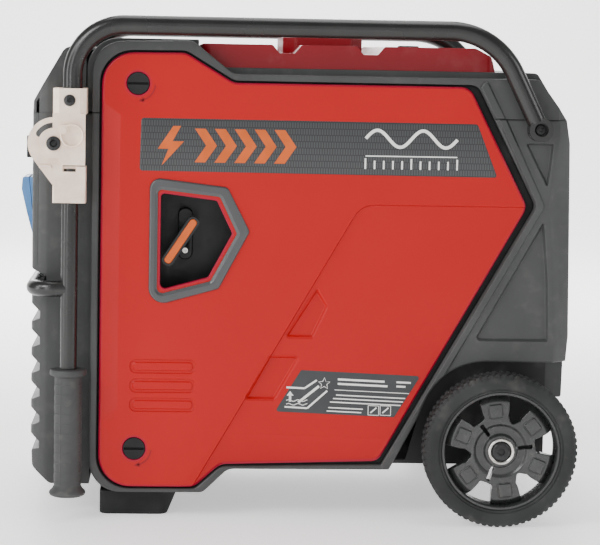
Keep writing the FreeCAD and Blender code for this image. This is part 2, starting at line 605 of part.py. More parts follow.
def hinges():
    fixed = Solid("hinge_fixed")
    fixed.pad("XY", 533, 566, rounded([(-321, -HALF_WAIST), (-278, -HALF_WAIST), (-278, -243), (-286, -249),
                                       (-313, -249), (-321, -243)]))
    fixed.pad("XZ", -249, -246, rounded([(-279, 533.5), (-279, 467), (-309, 467), (-309, 533.5)]))
    fixed.pad("XZ", -249, -246, rounded([(-321, 533.5), (-300, 533.5), (-300, 470), (-310, 470), (-321, 480)]))
    fixed.pad("XZ", -249, -246, circle(PIVOT_X, PIVOT_Z, 19.9))
    fixed.pocket("XY", 532, 600, circle(-296.4, -TUBE_Y, 12.7))
    fixed.pocket("XY", 500, 600, rectangle(-330, -270, -215, -204))
    fixed.pocket("XZ", -260, -240, circle(PIVOT_X, PIVOT_Z, 5.0))
    pin_u, pin_v = polar(PIVOT_X, PIVOT_Z, PIN_RADIUS, PIN_ANGLE)
    fixed.pocket("XZ", -260, -240, circle(pin_u, pin_v, 4.0))
    both_sides("hinge_fixed", fixed.body)

    arm = Solid("hinge_arm")
    arm.pad("XY", 418, 465.5, rectangle(-321, -278, -245.7, -217.7, 2))
    arm.pad("XZ", -245.7, -242.7, circle(PIVOT_X, PIVOT_Z, 33.5))
    arm.pad("XZ", -245.7, -242.7, rounded([(-347.5, 476), (-320, 440), (-290, 440), (-290, 480)]))
    arm.pad("XY", 463, 467.0, rectangle(-338, -322, -249.5, -243, 1))
    arm.pocket("XZ", -260, -240, circle(PIVOT_X, PIVOT_Z, 5.06))
    arm.pocket("XZ", -260, -240, arc_slot(PIVOT_X, PIVOT_Z, PIN_RADIUS, 8.8, PIN_ANGLE, PIN_ANGLE + 90))
    arm.pocket("XY", 410, 462, circle(-299, -TUBE_Y, 11.0))
    arm.pocket("XZ", -250, -240, rectangle(-308, -291, 458.5, 470))
    both_sides("hinge_arm", arm.body)

    bolt = Solid("pivot_bolt")
    bolt.turn(rounded([(0, 0), (5.0, 0), (5.0, 9), (9.4, 9), (9.4, 13, 1.5), (5, 14), (3, 11), (0, 11)]))
    bolt.turn(rounded([(0, 0), (9, 0), (9, -5), (0, -5)]))
    near = bolt.placed(PIVOT_X, -240, PIVOT_Z, (1, 0, 0), 90)
    keep("pivot_bolts", group("pivot_bolts", near, mirrored("pivot_bolt_far", near)))

    pin = Solid("lock_pin")
    pin.pad("XZ", -240, -262, circle(pin_u, pin_v, 3.9))
    pin.pad("XZ", -249.3, -259, circle(pin_u, pin_v, 6.2))
    away = Rotation(Vector(0, 1, 0), 34.5).multVec(Vector(14, 0, 0))
    ring = doc.addObject("Part::Torus", "lock_ring")
    ring.setExpression("Radius1", drive("lock_ring_radius", 14.0))
    ring.setExpression("Radius2", drive("lock_ring_wire", 1.4))
    ring.Placement = Placement(Vector(pin_u + away.x, -254.5, pin_v + away.z), AXES["Y"])
    both_sides("lock_pin", fuse("lock_pin_ringed", pin.body, ring))


def tow_handle():
    bar = Solid("crossbar")
    path = open_path([(-299, -TUBE_Y), (-345.5, -TUBE_Y, 25), (-345.5, TUBE_Y, 25), (-299, TUBE_Y)])
    bar.sweep("XY", 305, path, "YZ", -299, circle(-TUBE_Y, 305, 10.5))
    arms, bores = [], []
    for stem, y in (("near", -TUBE_Y), ("far", TUBE_Y)):
        arms.append(rod("tow_arm_" + stem, "Z", 11.0, (-299, y, 40), (-299, y, 462)))
        bores.append(rod("tow_bore_" + stem, "Z", 9.0, (-299, y, 30), (-299, y, 470)))
    keep("tow_frame", cut("tow_frame", fuse("tow_frame_raw", bar.body, *arms), *bores))

    grip = Solid("grip")
    grip.turn(rounded([(0, -8), (22.5, -8, 2), (22.5, 0, 2), (17.5, 2), (17.5, 150), (24, 153, 2), (24, 160, 2),
                       (11.0, 160), (11.0, 0), (0, 0)]))
    both_sides("grip", grip.placed(-299, -TUBE_Y, 40))


def screws():
    """Button-head screws: two through the hinge sockets and two through the carry tubes' lugs."""
    heads = []
    for i, (x, y, z, length) in enumerate(((-299.6, -249, 550.6, 12.0), (LUG_X, -233, LUG_Z, 25.0))):
        screw = Solid("screw%d" % i)
        shank = 0.0 if i == 0 else length
        screw.turn(rounded([(0, 0), (7.7, 0), (7.0, 3.5, 1.5), (3, 4.5), (2.4, 2), (0, 2)]))
        if shank:
            screw.turn(rectangle(0, 4.1, -shank, 0))
        near = screw.placed(x, y, z, (1, 0, 0), 90)
        heads += [near, mirrored("screw%d_far" % i, near)]
    keep("button_screws", group("button_screws", *heads))


# ---------------------------------------------------------------- control panel

PANEL_FACE = -347.0
CEE_Y, CEE_Z = -62.0, 403.0
SCHUKO_Z = 388.0
SCHUKO_Y = (25.0, 95.0)
SWITCH_ROW = 484.0


def control_panel():
    panel = Solid("control_panel")
    panel.pad("YZ", PANEL_FACE, -343.05, rectangle(-144.7, 144.7, 340.3, 516.7, 7.5))
    panel.pocket("YZ", -350, -340, circle(CEE_Y, CEE_Z, 31))
    panel.pocket("YZ", -350, -340, *[circle(y, SCHUKO_Z, 22) for y in SCHUKO_Y])
    panel.pocket("YZ", -350, -340, circle(-95, SWITCH_ROW, 6.06), circle(-50, SWITCH_ROW, 9.3),
                 circle(118, SWITCH_ROW, 6.3), rectangle(62, 78, SWITCH_ROW - 13.5, SWITCH_ROW + 13.5, 1))
    panel.pocket("YZ", PANEL_FACE, -346, rectangle(-24, 44, 468, 502, 3))
    keep("control_panel", panel.body)

    socket = Solid("cee_socket")
    socket.pad("XZ", CEE_Y - 38, CEE_Y + 38, rounded([(PANEL_FACE, 364), (PANEL_FACE, 443), (-360, 443, 2), (-351.5, 364, 2)]))
    socket.pad("YZ", PANEL_FACE, -300, circle(CEE_Y, CEE_Z, 30.5))
    socket.pocket("YZ", -370, -306, circle(CEE_Y, CEE_Z, 27))
    socket.pad("YZ", -306, -335, *[circle(*polar(CEE_Y, CEE_Z, 15, a), 3) for a in (-90, 30, 150)])
    keep("cee_socket", socket.body)

    flap = Solid("cee_flap_side")
    flap.pad("XZ", -36, 36, rounded([(-0.5, -79, 1.5), (-0.5, 1, 1), (-9, 2, 3), (-12, -14, 5), (-4.5, -79, 2)]))
    trim = Solid("cee_flap_trim")
    trim.pad("YZ", -20, 10, rounded([(-36, 4, 3), (36, 4, 3), (36, -45, 4), (20, -80, 24), (-20, -80, 24), (-36, -45, 4)]))
    lid = common("cee_flap", flap.body, trim.body)
    lid.Placement = Placement(Vector(-360.3, CEE_Y, 442), Rotation(Vector(0, 1, 0), -6.1))
    keep("cee_flap", lid)

    sockets = []
    for i, y in enumerate(SCHUKO_Y):
        body = Solid("schuko%d" % i)
        body.pad("YZ", PANEL_FACE, -350, rectangle(y - 26, y + 26, SCHUKO_Z - 26, SCHUKO_Z + 26, 4))
        body.pad("YZ", PANEL_FACE, -326, circle(y, SCHUKO_Z, 21.7))
        body.pocket("YZ", -351, -330, circle(y, SCHUKO_Z, 19.5))
        sockets.append(body.body)
        lid = Solid("schuko_flap%d" % i)
        lid.pad("YZ", -350.3, -354, rectangle(y - 25, y + 25, SCHUKO_Z - 25, SCHUKO_Z + 25, 6))
        lid.pad("YZ", -354, -357, circle(y, SCHUKO_Z, 18))
        keep("schuko_flap_%s" % ("left", "right")[i], lid.body)
    keep("schuko_sockets", group("schuko_sockets", *sockets))

    knob = Solid("engine_switch")
    knob.pad("YZ", -347.3, -352, circle(-95, SWITCH_ROW, 16))
    knob.pad("YZ", -352, -364, rectangle(-99, -91, SWITCH_ROW - 15, SWITCH_ROW + 15, 3.5))
    knob.pad("YZ", -347.3, -335, circle(-95, SWITCH_ROW, 6.0))
    keep("engine_switch", knob.body)
    rocker = Solid("eco_rocker")
    rocker.pad("XZ", 63, 77, rounded([(-341, SWITCH_ROW - 10), (-349, SWITCH_ROW - 11, 1), (-351.5, SWITCH_ROW, 3),
                                      (-349, SWITCH_ROW + 11, 1), (-341, SWITCH_ROW + 10)]))
    keep("eco_rocker", rocker.body)
    start = Solid("start_button")
    start.pad("YZ", -352, -336, circle(-50, SWITCH_ROW, 9))
    keep("start_button", start.body)
    breaker = Solid("breaker_button")
    breaker.pad("YZ", -353, -336, circle(118, SWITCH_ROW, 6))
    keep("breaker_button", breaker.body)


# ---------------------------------------------------------------- build, test and write

for build in (chassis, wheels, side_shells, upper_shell, control_end, rear_panel, tank, doors, recoil, machinery,
              carry_tubes, hinges, tow_handle, screws, control_panel):
    build()
doc.recompute()

failed = [o.Name for o in doc.Objects if "Invalid" in o.State or "Error" in o.State]
if failed:
    raise RuntimeError("objects failed: " + ", ".join(failed))
for feature in cuts:
    base = feature.Base if feature.TypeId == "Part::Cut" else feature.BaseFeature
    if feature.Shape.Volume > base.Shape.Volume - 1.0:
        raise RuntimeError("nothing was cut by " + feature.Name)
for piece in parts:
    if piece.Shape.isNull() or not piece.Shape.isValid():
        raise RuntimeError("bad shape: " + piece.Label)

os.makedirs("parts", exist_ok=True)
for piece in parts:
    piece.Shape.exportStep("parts/%s.step" % piece.Label)
print("wrote %d parts" % len(parts))
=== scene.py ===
import math

import bpy
import numpy as np
from mathutils import Matrix, Vector
from mathutils.geometry import delaunay_2d_cdt


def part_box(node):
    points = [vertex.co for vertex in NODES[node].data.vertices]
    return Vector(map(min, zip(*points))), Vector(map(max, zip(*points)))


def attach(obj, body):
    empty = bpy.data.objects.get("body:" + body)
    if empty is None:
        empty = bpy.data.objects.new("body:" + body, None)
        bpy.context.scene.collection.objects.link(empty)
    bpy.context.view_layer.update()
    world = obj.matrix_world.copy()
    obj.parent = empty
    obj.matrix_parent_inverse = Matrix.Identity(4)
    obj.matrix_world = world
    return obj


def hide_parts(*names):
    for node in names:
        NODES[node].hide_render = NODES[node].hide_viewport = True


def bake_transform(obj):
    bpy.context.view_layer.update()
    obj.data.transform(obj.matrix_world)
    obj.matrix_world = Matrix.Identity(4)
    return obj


bl_info = {
    "name": "Inverter generator finisher",
    "version": (1, 0, 0),
    "blender": (4, 5, 0),
    "location": "3D View > Sidebar > Generator",
    "description": "Moulded doors, shells, wheels, grips and finishes around a packed inverter generator",
    "category": "Object",
}

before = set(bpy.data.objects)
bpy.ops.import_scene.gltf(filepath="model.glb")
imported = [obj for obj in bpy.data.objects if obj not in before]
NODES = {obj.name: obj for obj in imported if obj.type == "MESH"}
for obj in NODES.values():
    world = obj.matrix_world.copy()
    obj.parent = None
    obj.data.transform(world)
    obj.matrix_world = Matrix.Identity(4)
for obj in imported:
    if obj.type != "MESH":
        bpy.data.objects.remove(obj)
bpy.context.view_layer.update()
MM = 0.001


def spot(node):
    """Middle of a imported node, and half its size, in millimetres."""
    low, high = (np.array(c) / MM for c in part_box(node))
    return (low + high) / 2, (high - low) / 2


WHEEL_MIDDLE, WHEEL_HALF = spot("tyre_near")
GRIP_MIDDLE, GRIP_HALF = spot("grip_near")
CAP_MIDDLE, CAP_HALF = spot("fuel_cap")
PULL_MIDDLE = spot("starter_handle")[0]
DOOR_FACE = -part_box("door_near")[0].y / MM
SHELL_FACE = -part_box("upper_shell")[0].y / MM
ROPE_Z = spot("starter_rope")[0][2]


# ------------------------------------------------------------------ settings

def size_mm(name, about, default, low, high):
    return bpy.props.FloatProperty(name=name, description=about, default=default, min=low, max=high)


def tint(name, about, default):
    return bpy.props.FloatVectorProperty(
        name=name, description=about, default=default, min=0.0, max=1.0, size=3, subtype="COLOR")


class GeneratorSizes(bpy.types.PropertyGroup):
    door_edge: size_mm("Door edge", "Radius of the doors' rounded rim, in millimetres", 3.6, 1.0, 6.0)
    shell_edge: size_mm("Shell edge", "Radius of the black shells' rounded edges, in millimetres", 2.4, 0.5, 4.0)
    crease_step: size_mm("Crease step", "Depth of the step that crosses each door, in millimetres", 2.3, 0.5, 2.5)
    small_edge: size_mm("Small edge", "Width of the bevel on small fittings, in millimetres", 0.6, 0.1, 1.5)
    tread_blocks: bpy.props.IntProperty(
        name="Tread blocks", description="Number of tread blocks round each tyre", default=72, min=24, max=120)
    grip_ribs: bpy.props.IntProperty(
        name="Grip ribs", description="Number of chevron ribs up each handle grip", default=11, min=4, max=20)
    cap_flutes: bpy.props.IntProperty(
        name="Cap flutes", description="Number of flutes round the fuel cap", default=24, min=8, max=48)


class GeneratorColours(bpy.types.PropertyGroup):
    door_red: tint("Door red", "Satin moulded plastic of the side doors", (0.37, 0.0015, 0.0022))
    cover_red: tint("Cover red", "Satin moulded plastic of the tank cover", (0.2, 0.0012, 0.007))
    shell_black: tint("Shell black", "Textured plastic of the shells", (0.026, 0.027, 0.027))
    trim_grey: tint("Trim grey", "Textured plastic of the recoil surround and the panel", (0.06, 0.063, 0.066))
    pull_orange: tint("Pull orange", "Insert of the starter handle", (0.46, 0.08, 0.008))
    flap_blue: tint("Flap blue", "Lid and body of the round power socket", (0.08, 0.2, 0.42))
    zinc: tint("Zinc", "Plated steel of the tow handle's hinges", (0.82, 0.64, 0.52))


# ------------------------------------------------------------------ numbers and outlines

def ease(t):
    """Smooth step: 3t^2 - 2t^3 with t held between 0 and 1."""
    t = np.clip(t, 0.0, 1.0)
    return t * t * (3.0 - 2.0 * t)


def fillet(distance, radius):
    """Drop of a quarter-round edge: radius minus the height of a circle at this distance from the edge."""
    inward = np.clip(radius - distance, 0.0, radius)
    return radius - np.sqrt(np.maximum(radius * radius - inward * inward, 0.0))


def corner_arc(back, here, ahead, radius):
    """Points of one rounded corner, on the circle that touches both of its sides."""
    if radius <= 0.0:
        return here[None]
    to_back, to_ahead = back - here, ahead - here
    to_back /= np.linalg.norm(to_back)
    to_ahead /= np.linalg.norm(to_ahead)
    half = math.acos(np.clip(to_back @ to_ahead, -1.0, 1.0)) / 2.0
    middle = here + (to_back + to_ahead) / np.linalg.norm(to_back + to_ahead) * radius / math.sin(half)
    first = here + to_back * radius / math.tan(half) - middle
    last = here + to_ahead * radius / math.tan(half) - middle
    start = math.atan2(first[1], first[0])
    swing = (math.atan2(last[1], last[0]) - start + math.pi) % (2.0 * math.pi) - math.pi
    steps = max(3, int(abs(swing) / math.radians(9.0)) + 2)
    angle = start + swing * np.linspace(0.0, 1.0, steps)
    return middle + radius * np.stack([np.cos(angle), np.sin(angle)], 1)


def rounded(corners):
    """Closed outline, anticlockwise, from (u, v) or (u, v, radius) corners."""
    flat = [np.array(c[:2], float) for c in corners]
    arcs = [corner_arc(flat[i - 1], p, flat[(i + 1) % len(flat)], corners[i][2] if len(corners[i]) > 2 else 0.0)
            for i, p in enumerate(flat)]
    line = np.concatenate(arcs)
    u, v = line.T
    area = np.sum(u * np.roll(v, -1) - v * np.roll(u, -1))
    return line if area > 0 else line[::-1]


def oval(u, v, radius, count=40):
    angle = np.arange(count) * 2.0 * math.pi / count
    return np.stack([u + radius * np.cos(angle), v + radius * np.sin(angle)], 1)


def inset(line, distance):
    """The outline moved inwards: each corner goes along the mitre of its two sides' normals."""
    side = np.roll(line, -1, 0) - line
    side /= np.maximum(np.linalg.norm(side, axis=1, keepdims=True), 1e-9)
    normal = np.stack([-side[:, 1], side[:, 0]], 1)
    before = np.roll(normal, 1, 0)
    mitre = (before + normal) / np.maximum(1.0 + np.sum(before * normal, 1, keepdims=True), 0.3)
    return line + mitre * distance


def inside(line, points):
    """Signed distance from each point to a closed outline, positive inside it."""
    start, end = line, np.roll(line, -1, 0)
    side = end - start
    offset = points[:, None] - start[None]
    share = np.clip(np.sum(offset * side, 2) / np.maximum(np.sum(side * side, 1), 1e-12), 0.0, 1.0)
    gap = np.linalg.norm(offset - share[..., None] * side[None], axis=2).min(1)
    above = start[None, :, 1] > points[:, None, 1]
    crosses = above != (end[None, :, 1] > points[:, None, 1])
    rise = np.where(np.abs(side[:, 1]) < 1e-12, 1e-12, side[:, 1])
    at = start[:, 0] + (points[:, 1, None] - start[:, 1]) / rise * side[:, 0]
    odd = np.sum(crosses & (points[:, 0, None] < at), 1) % 2 == 1
    return np.where(odd, gap, -gap)


# ------------------------------------------------------------------ meshes

def new_piece(name, points, faces, body, material, replaces=(), smooth=True, normals=None,
              crisp=False, rim=None):
    """A mesh object from points in millimetres and a list or array of faces, riding on a body."""
    mesh = bpy.data.meshes.new(name)
    mesh.from_pydata((np.asarray(points, float) * MM).tolist(), [],
                     faces.tolist() if isinstance(faces, np.ndarray) else faces)
    mesh.polygons.foreach_set("use_smooth", np.full(len(mesh.polygons), smooth))
    mesh.materials.append(material)
    mesh.update()
    if crisp:
        mesh.set_sharp_from_angle(angle=math.radians(40.0))
    if normals is not None:
        mesh.normals_split_custom_set(np.asarray(normals, float).tolist())
    # the "rim" point weight, where given, is the mask of the painted edge sheen on the door finish
    if rim is not None:
        mesh.attributes.new("rim", "FLOAT", "POINT").data.foreach_set("value", np.asarray(rim, np.float32))
    piece = bpy.data.objects.new(name, mesh)
    bpy.context.scene.collection.objects.link(piece)
    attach(piece, body)
    if replaces:
        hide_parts(*replaces)
    return piece


def grid_faces(rows, columns, close_rows=False, close_columns=True):
    """Quads of a grid of rows x columns points, joined back to its start where asked."""
    i = np.arange(rows if close_rows else rows - 1)
    j = np.arange(columns if close_columns else columns - 1)
    i, j = np.meshgrid(i, j, indexing="ij")
    a, b = i * columns + j, i * columns + (j + 1) % columns
    c, d = ((i + 1) % rows) * columns + (j + 1) % columns, ((i + 1) % rows) * columns + j
    return np.stack([a, b, c, d], -1).reshape(-1, 4)


def plate(name, outer, holes, rings, face, height, back, side, body, material, replaces=()):
    """A moulded plate: over the plan (x, z) its front stands at face + height(x, z) from the middle plane.

    The plan is a constrained triangulation of the outline, its holes and the extra rings, so that edges
    fall where the height bends. Walls join the front's rim to a back at the given distance, and the
    normals come from the slope of the height itself. The point attribute "rim" falls from 1 at every edge
    to 0 a few millimetres in, as the mask of a painted sheen that a finish tints along an edge.
    """
    loops = [outer, *holes, *rings]
    starts = np.cumsum([0] + [len(r) for r in loops])
    joins = np.concatenate([np.stack([np.arange(len(r)), (np.arange(len(r)) + 1) % len(r)], 1) + s
                            for r, s in zip(loops, starts)])
    flat = [Vector(p) for p in np.concatenate(loops).tolist()]
    plan, _, triangles, *_ = delaunay_2d_cdt(flat, joins.tolist(), [], 0, 1e-4)
    plan, triangles = np.array([tuple(p) for p in plan]), np.array(triangles)
    middle = plan[triangles].mean(1)
    keep = inside(outer, middle) > 0
    for hole in holes:
        keep &= inside(hole, middle) < 0
    triangles = triangles[keep]
    used, triangles = np.unique(triangles, return_inverse=True)
    plan, triangles = plan[used], triangles.reshape(-1, 3)
    count = len(plan)
    out = face + height(plan)
    behind = back(plan) if callable(back) else np.full(count, back)
    front = np.stack([plan[:, 0], side * out, plan[:, 1]], 1)
    rear = np.stack([plan[:, 0], side * behind, plan[:, 1]], 1)
    edges = np.concatenate([triangles[:, [0, 1]], triangles[:, [1, 2]], triangles[:, [2, 0]]])
    keys = np.sort(edges, 1)
    _, where, times = np.unique(keys[:, 0] * count + keys[:, 1], return_index=True, return_counts=True)
    rim = edges[where[times == 1]]
    wall = np.stack([rim[:, 1], rim[:, 0], rim[:, 0] + count, rim[:, 1] + count], 1)
    step = 0.03
    lean_u = (height(plan + [step, 0]) - height(plan - [step, 0])) / (2 * step)
    lean_v = (height(plan + [0, step]) - height(plan - [0, step])) / (2 * step)
    slope = np.stack([-lean_u, np.full(count, float(side)), -lean_v], 1)
    slope /= np.linalg.norm(slope, axis=1, keepdims=True)
    along = plan[rim[:, 1]] - plan[rim[:, 0]]
    across = np.stack([along[:, 1], np.zeros(len(rim)), -along[:, 0]], 1)
    across /= np.maximum(np.linalg.norm(across, axis=1, keepdims=True), 1e-9)
    # an anticlockwise plan (x, z) already faces -Y, so the near back and the far front are reversed
    reverse = slice(None, None, -1)
    order, flip = (slice(None), reverse) if side < 0 else (reverse, slice(None))
    faces = triangles[:, order].tolist() + (triangles[:, flip] + count).tolist() + wall[:, order].tolist()
    loops_front = slope[triangles[:, order]].reshape(-1, 3)
    loops_rear = np.tile([0.0, -float(side), 0.0], (triangles.size, 1))
    loops_wall = np.repeat(across, 4, 0)
    reach = np.abs(inside(outer, plan))
    for hole in holes:
        reach = np.minimum(reach, np.abs(inside(hole, plan)))
    # painted sheen weight: 1 along every outline and hole edge, falling to 0 a few millimetres in; the door finish
    # tints it crimson
    painted_sheen_weight = np.concatenate([1.0 - ease((reach - 0.8) / 3.4), np.ones(count)])
    return new_piece(name, np.concatenate([front, rear]), faces, body, material, replaces,
                     normals=np.concatenate([loops_front, loops_rear, loops_wall]), rim=painted_sheen_weight)


def lathe(name, middle, axis, profile, count, body, material, replaces=(), shape=None):
    """A turned piece: (radius, along) profile points go round an axis through the middle.

    The profile is closed, or starts and ends on the axis. shape(radius, along, angle) may change the
    radius and the place along the axis over the whole grid, and the faces are quads between rows.
    """
    radius, along = np.asarray(profile, float).T
    if np.sum(radius * np.roll(along, -1) - along * np.roll(radius, -1)) < 0:
        radius, along = radius[::-1], along[::-1]
    angle = np.arange(count) * 2.0 * math.pi / count
    radius, along = (np.repeat(a[:, None], count, 1) for a in (radius, along))
    turn = np.repeat(angle[None], len(radius), 0)
    if shape:
        radius, along = shape(radius, along, turn)
    ring_u, ring_v = radius * np.cos(turn), radius * np.sin(turn)
    order = {"X": (along, ring_u, ring_v), "Y": (ring_v, along, ring_u), "Z": (ring_u, ring_v, along)}[axis]
    points = (np.stack(order, -1) + np.asarray(middle, float)).reshape(-1, 3)
    on_axis = radius[0].max() < 1e-6 and radius[-1].max() < 1e-6
    faces = grid_faces(len(radius), count, close_rows=not on_axis)
    if not on_axis:
        return new_piece(name, points, faces, body, material, replaces, crisp=True)
    # the first and last rows become one pole each, with a fan of triangles round it
    points = points[count - 1:len(points) - count + 1]
    faces = np.clip(faces - (count - 1), 0, len(points) - 1)
    fans = np.concatenate([faces[:count][:, [0, 2, 3]], faces[-count:][:, [0, 1, 2]]])
    return new_piece(name, points, fans.tolist() + faces[count:-count].tolist(), body, material, replaces,
                     crisp=True)


def marks(name, shapes, face, thick, side, body, material):
    """Thin raised shapes on a flat face: each (x, z) outline is a cap, a back and a wall of quads."""
    points, faces, start = [], [], 0
    for line in shapes:
        u, v = line.T
        if np.sum(u * np.roll(v, -1) - v * np.roll(u, -1)) < 0:
            line = line[::-1]
        n = len(line)
        for out in (face + thick, face - 0.3):
            points.append(np.stack([line[:, 0], np.full(n, side * out), line[:, 1]], 1))
        i = np.arange(n)
        j = (i + 1) % n
        wall = np.stack([j, i, i + n, j + n], 1)
        cap, back = i[None], i[None, ::-1] + n
        if side > 0:
            wall, cap, back = wall[:, ::-1], cap[:, ::-1], back[:, ::-1]
        faces += (cap + start).tolist() + (back + start).tolist() + (wall + start).tolist()
        start += 2 * n
    return new_piece(name, np.concatenate(points), faces, body, material, smooth=False)


def bar(u0, v0, u1, v1, width):
    """Corners of a straight bar between two points."""
    along = np.array([u1 - u0, v1 - v0], float)
    across = np.array([-along[1], along[0]]) / np.linalg.norm(along) * width / 2.0
    a, b = np.array([u0, v0]), np.array([u1, v1])
    return np.array([a - across, b - across, b + across, a + across])


def ribbon(points, width):
    """Closed outline of a line of points thickened by moving each point along its normal."""
    points = np.asarray(points, float)
    along = np.gradient(points, axis=0)
    normal = np.stack([-along[:, 1], along[:, 0]], 1) / np.linalg.norm(along, axis=1, keepdims=True)
    return np.concatenate([points - normal * width / 2, (points + normal * width / 2)[::-1]])


# ------------------------------------------------------------------ finishes

class Finish:
    """A principled material whose colour, roughness and bump come from noise in object space."""

    def __init__(self, name, colour, rough, metal=0.0, shine=0.3):
        self.material = bpy.data.materials.new(name)
        self.material.use_nodes = True
        self.tree = self.material.node_tree
        self.shader = self.tree.nodes["Principled BSDF"]
        self.place = self.tree.nodes.new("ShaderNodeTexCoord").outputs["Object"]
        self.shader.inputs["Base Color"].default_value = (*colour, 1.0)
        self.shader.inputs["Roughness"].default_value = rough
        self.shader.inputs["Metallic"].default_value = metal
        self.shader.inputs["Specular IOR Level"].default_value = shine
        self.colour = None
        self.base, self.rough = (*colour, 1.0), rough

    def node(self, kind, **sockets):
        made = self.tree.nodes.new(kind)
        for key, value in sockets.items():
            socket = made.inputs[key.replace("_", " ")]
            if isinstance(value, bpy.types.NodeSocket):
                self.tree.links.new(value, socket)
            else:
                socket.default_value = value
        return made

    def stretched(self, x, y, z):
        return self.node("ShaderNodeMapping", Vector=self.place, Scale=(x, y, z)).outputs["Vector"]

    def noise(self, scale, detail=2.0, place=None):
        return self.node("ShaderNodeTexNoise", Vector=place or self.place, Scale=scale, Detail=detail).outputs["Fac"]

    def ranged(self, value, low, high, to_low, to_high):
        made = self.node("ShaderNodeMapRange", Value=value)
        for socket, number in zip(("From Min", "From Max", "To Min", "To Max"), (low, high, to_low, to_high)):
            made.inputs[socket].default_value = number
        return made.outputs["Result"]

    def tinted(self, factor, colour):
        """Blends another colour over what is there, by a factor socket."""
        mix = self.tree.nodes.new("ShaderNodeMix")
        mix.data_type = "RGBA"
        sockets = [s for s in mix.inputs if s.enabled]
        self.tree.links.new(factor, sockets[0])
        if self.colour is None:
            sockets[1].default_value = self.base
        else:
            self.tree.links.new(self.colour, sockets[1])
        sockets[2].default_value = (*colour, 1.0)
        self.colour = [s for s in mix.outputs if s.enabled][0]
        self.tree.links.new(self.colour, self.shader.inputs["Base Color"])
        return self

    def mottled(self, amount=0.12, scale=9.0, place=None):
        """Slow patches a little lighter than the base."""
        light = tuple(min(1.0, c * (1.0 + 2.0 * amount) + 0.02 * amount) for c in self.base[:3])
        return self.tinted(self.ranged(self.noise(scale, 3.0, place), 0.35, 0.7, 0.0, 1.0), light)

    def dusted(self, amount=0.25, scale=35.0, colour=(0.35, 0.33, 0.3)):
        """Faint pale specks and smears."""
        return self.tinted(self.ranged(self.noise(scale, 6.0), 0.56, 0.78, 0.0, amount), colour)

    def scuffed(self, amount=0.3, colour=(0.4, 0.4, 0.4), turn=(3.0, 40.0, 900.0)):
        """Thin long scuffs: a stretched noise, cut to its peaks."""
        streaks = self.noise(1.0, 2.0, self.stretched(*turn))
        return self.tinted(self.ranged(streaks, 0.66, 0.74, 0.0, amount), colour)

    def glossed(self, spread=0.1, scale=45.0, place=None):
        low, high = self.rough - spread / 2, self.rough + spread / 2
        value = self.ranged(self.noise(scale, 4.0, place), 0.3, 0.7, low, high)
        self.tree.links.new(value, self.shader.inputs["Roughness"])
        return self

    def bumped(self, height, distance, strength=1.0):
        bump = self.node("ShaderNodeBump", Height=height, Distance=distance, Strength=strength)
        before = [link.from_socket for link in self.shader.inputs["Normal"].links]
        if before:
            self.tree.links.new(before[0], bump.inputs["Normal"])
        self.tree.links.new(bump.outputs["Normal"], self.shader.inputs["Normal"])
        return self

    def grained(self, scale=1400.0, distance=0.00006, strength=0.5, place=None):
        return self.bumped(self.noise(scale, 2.0, place), distance, strength)


FINISHES = {}


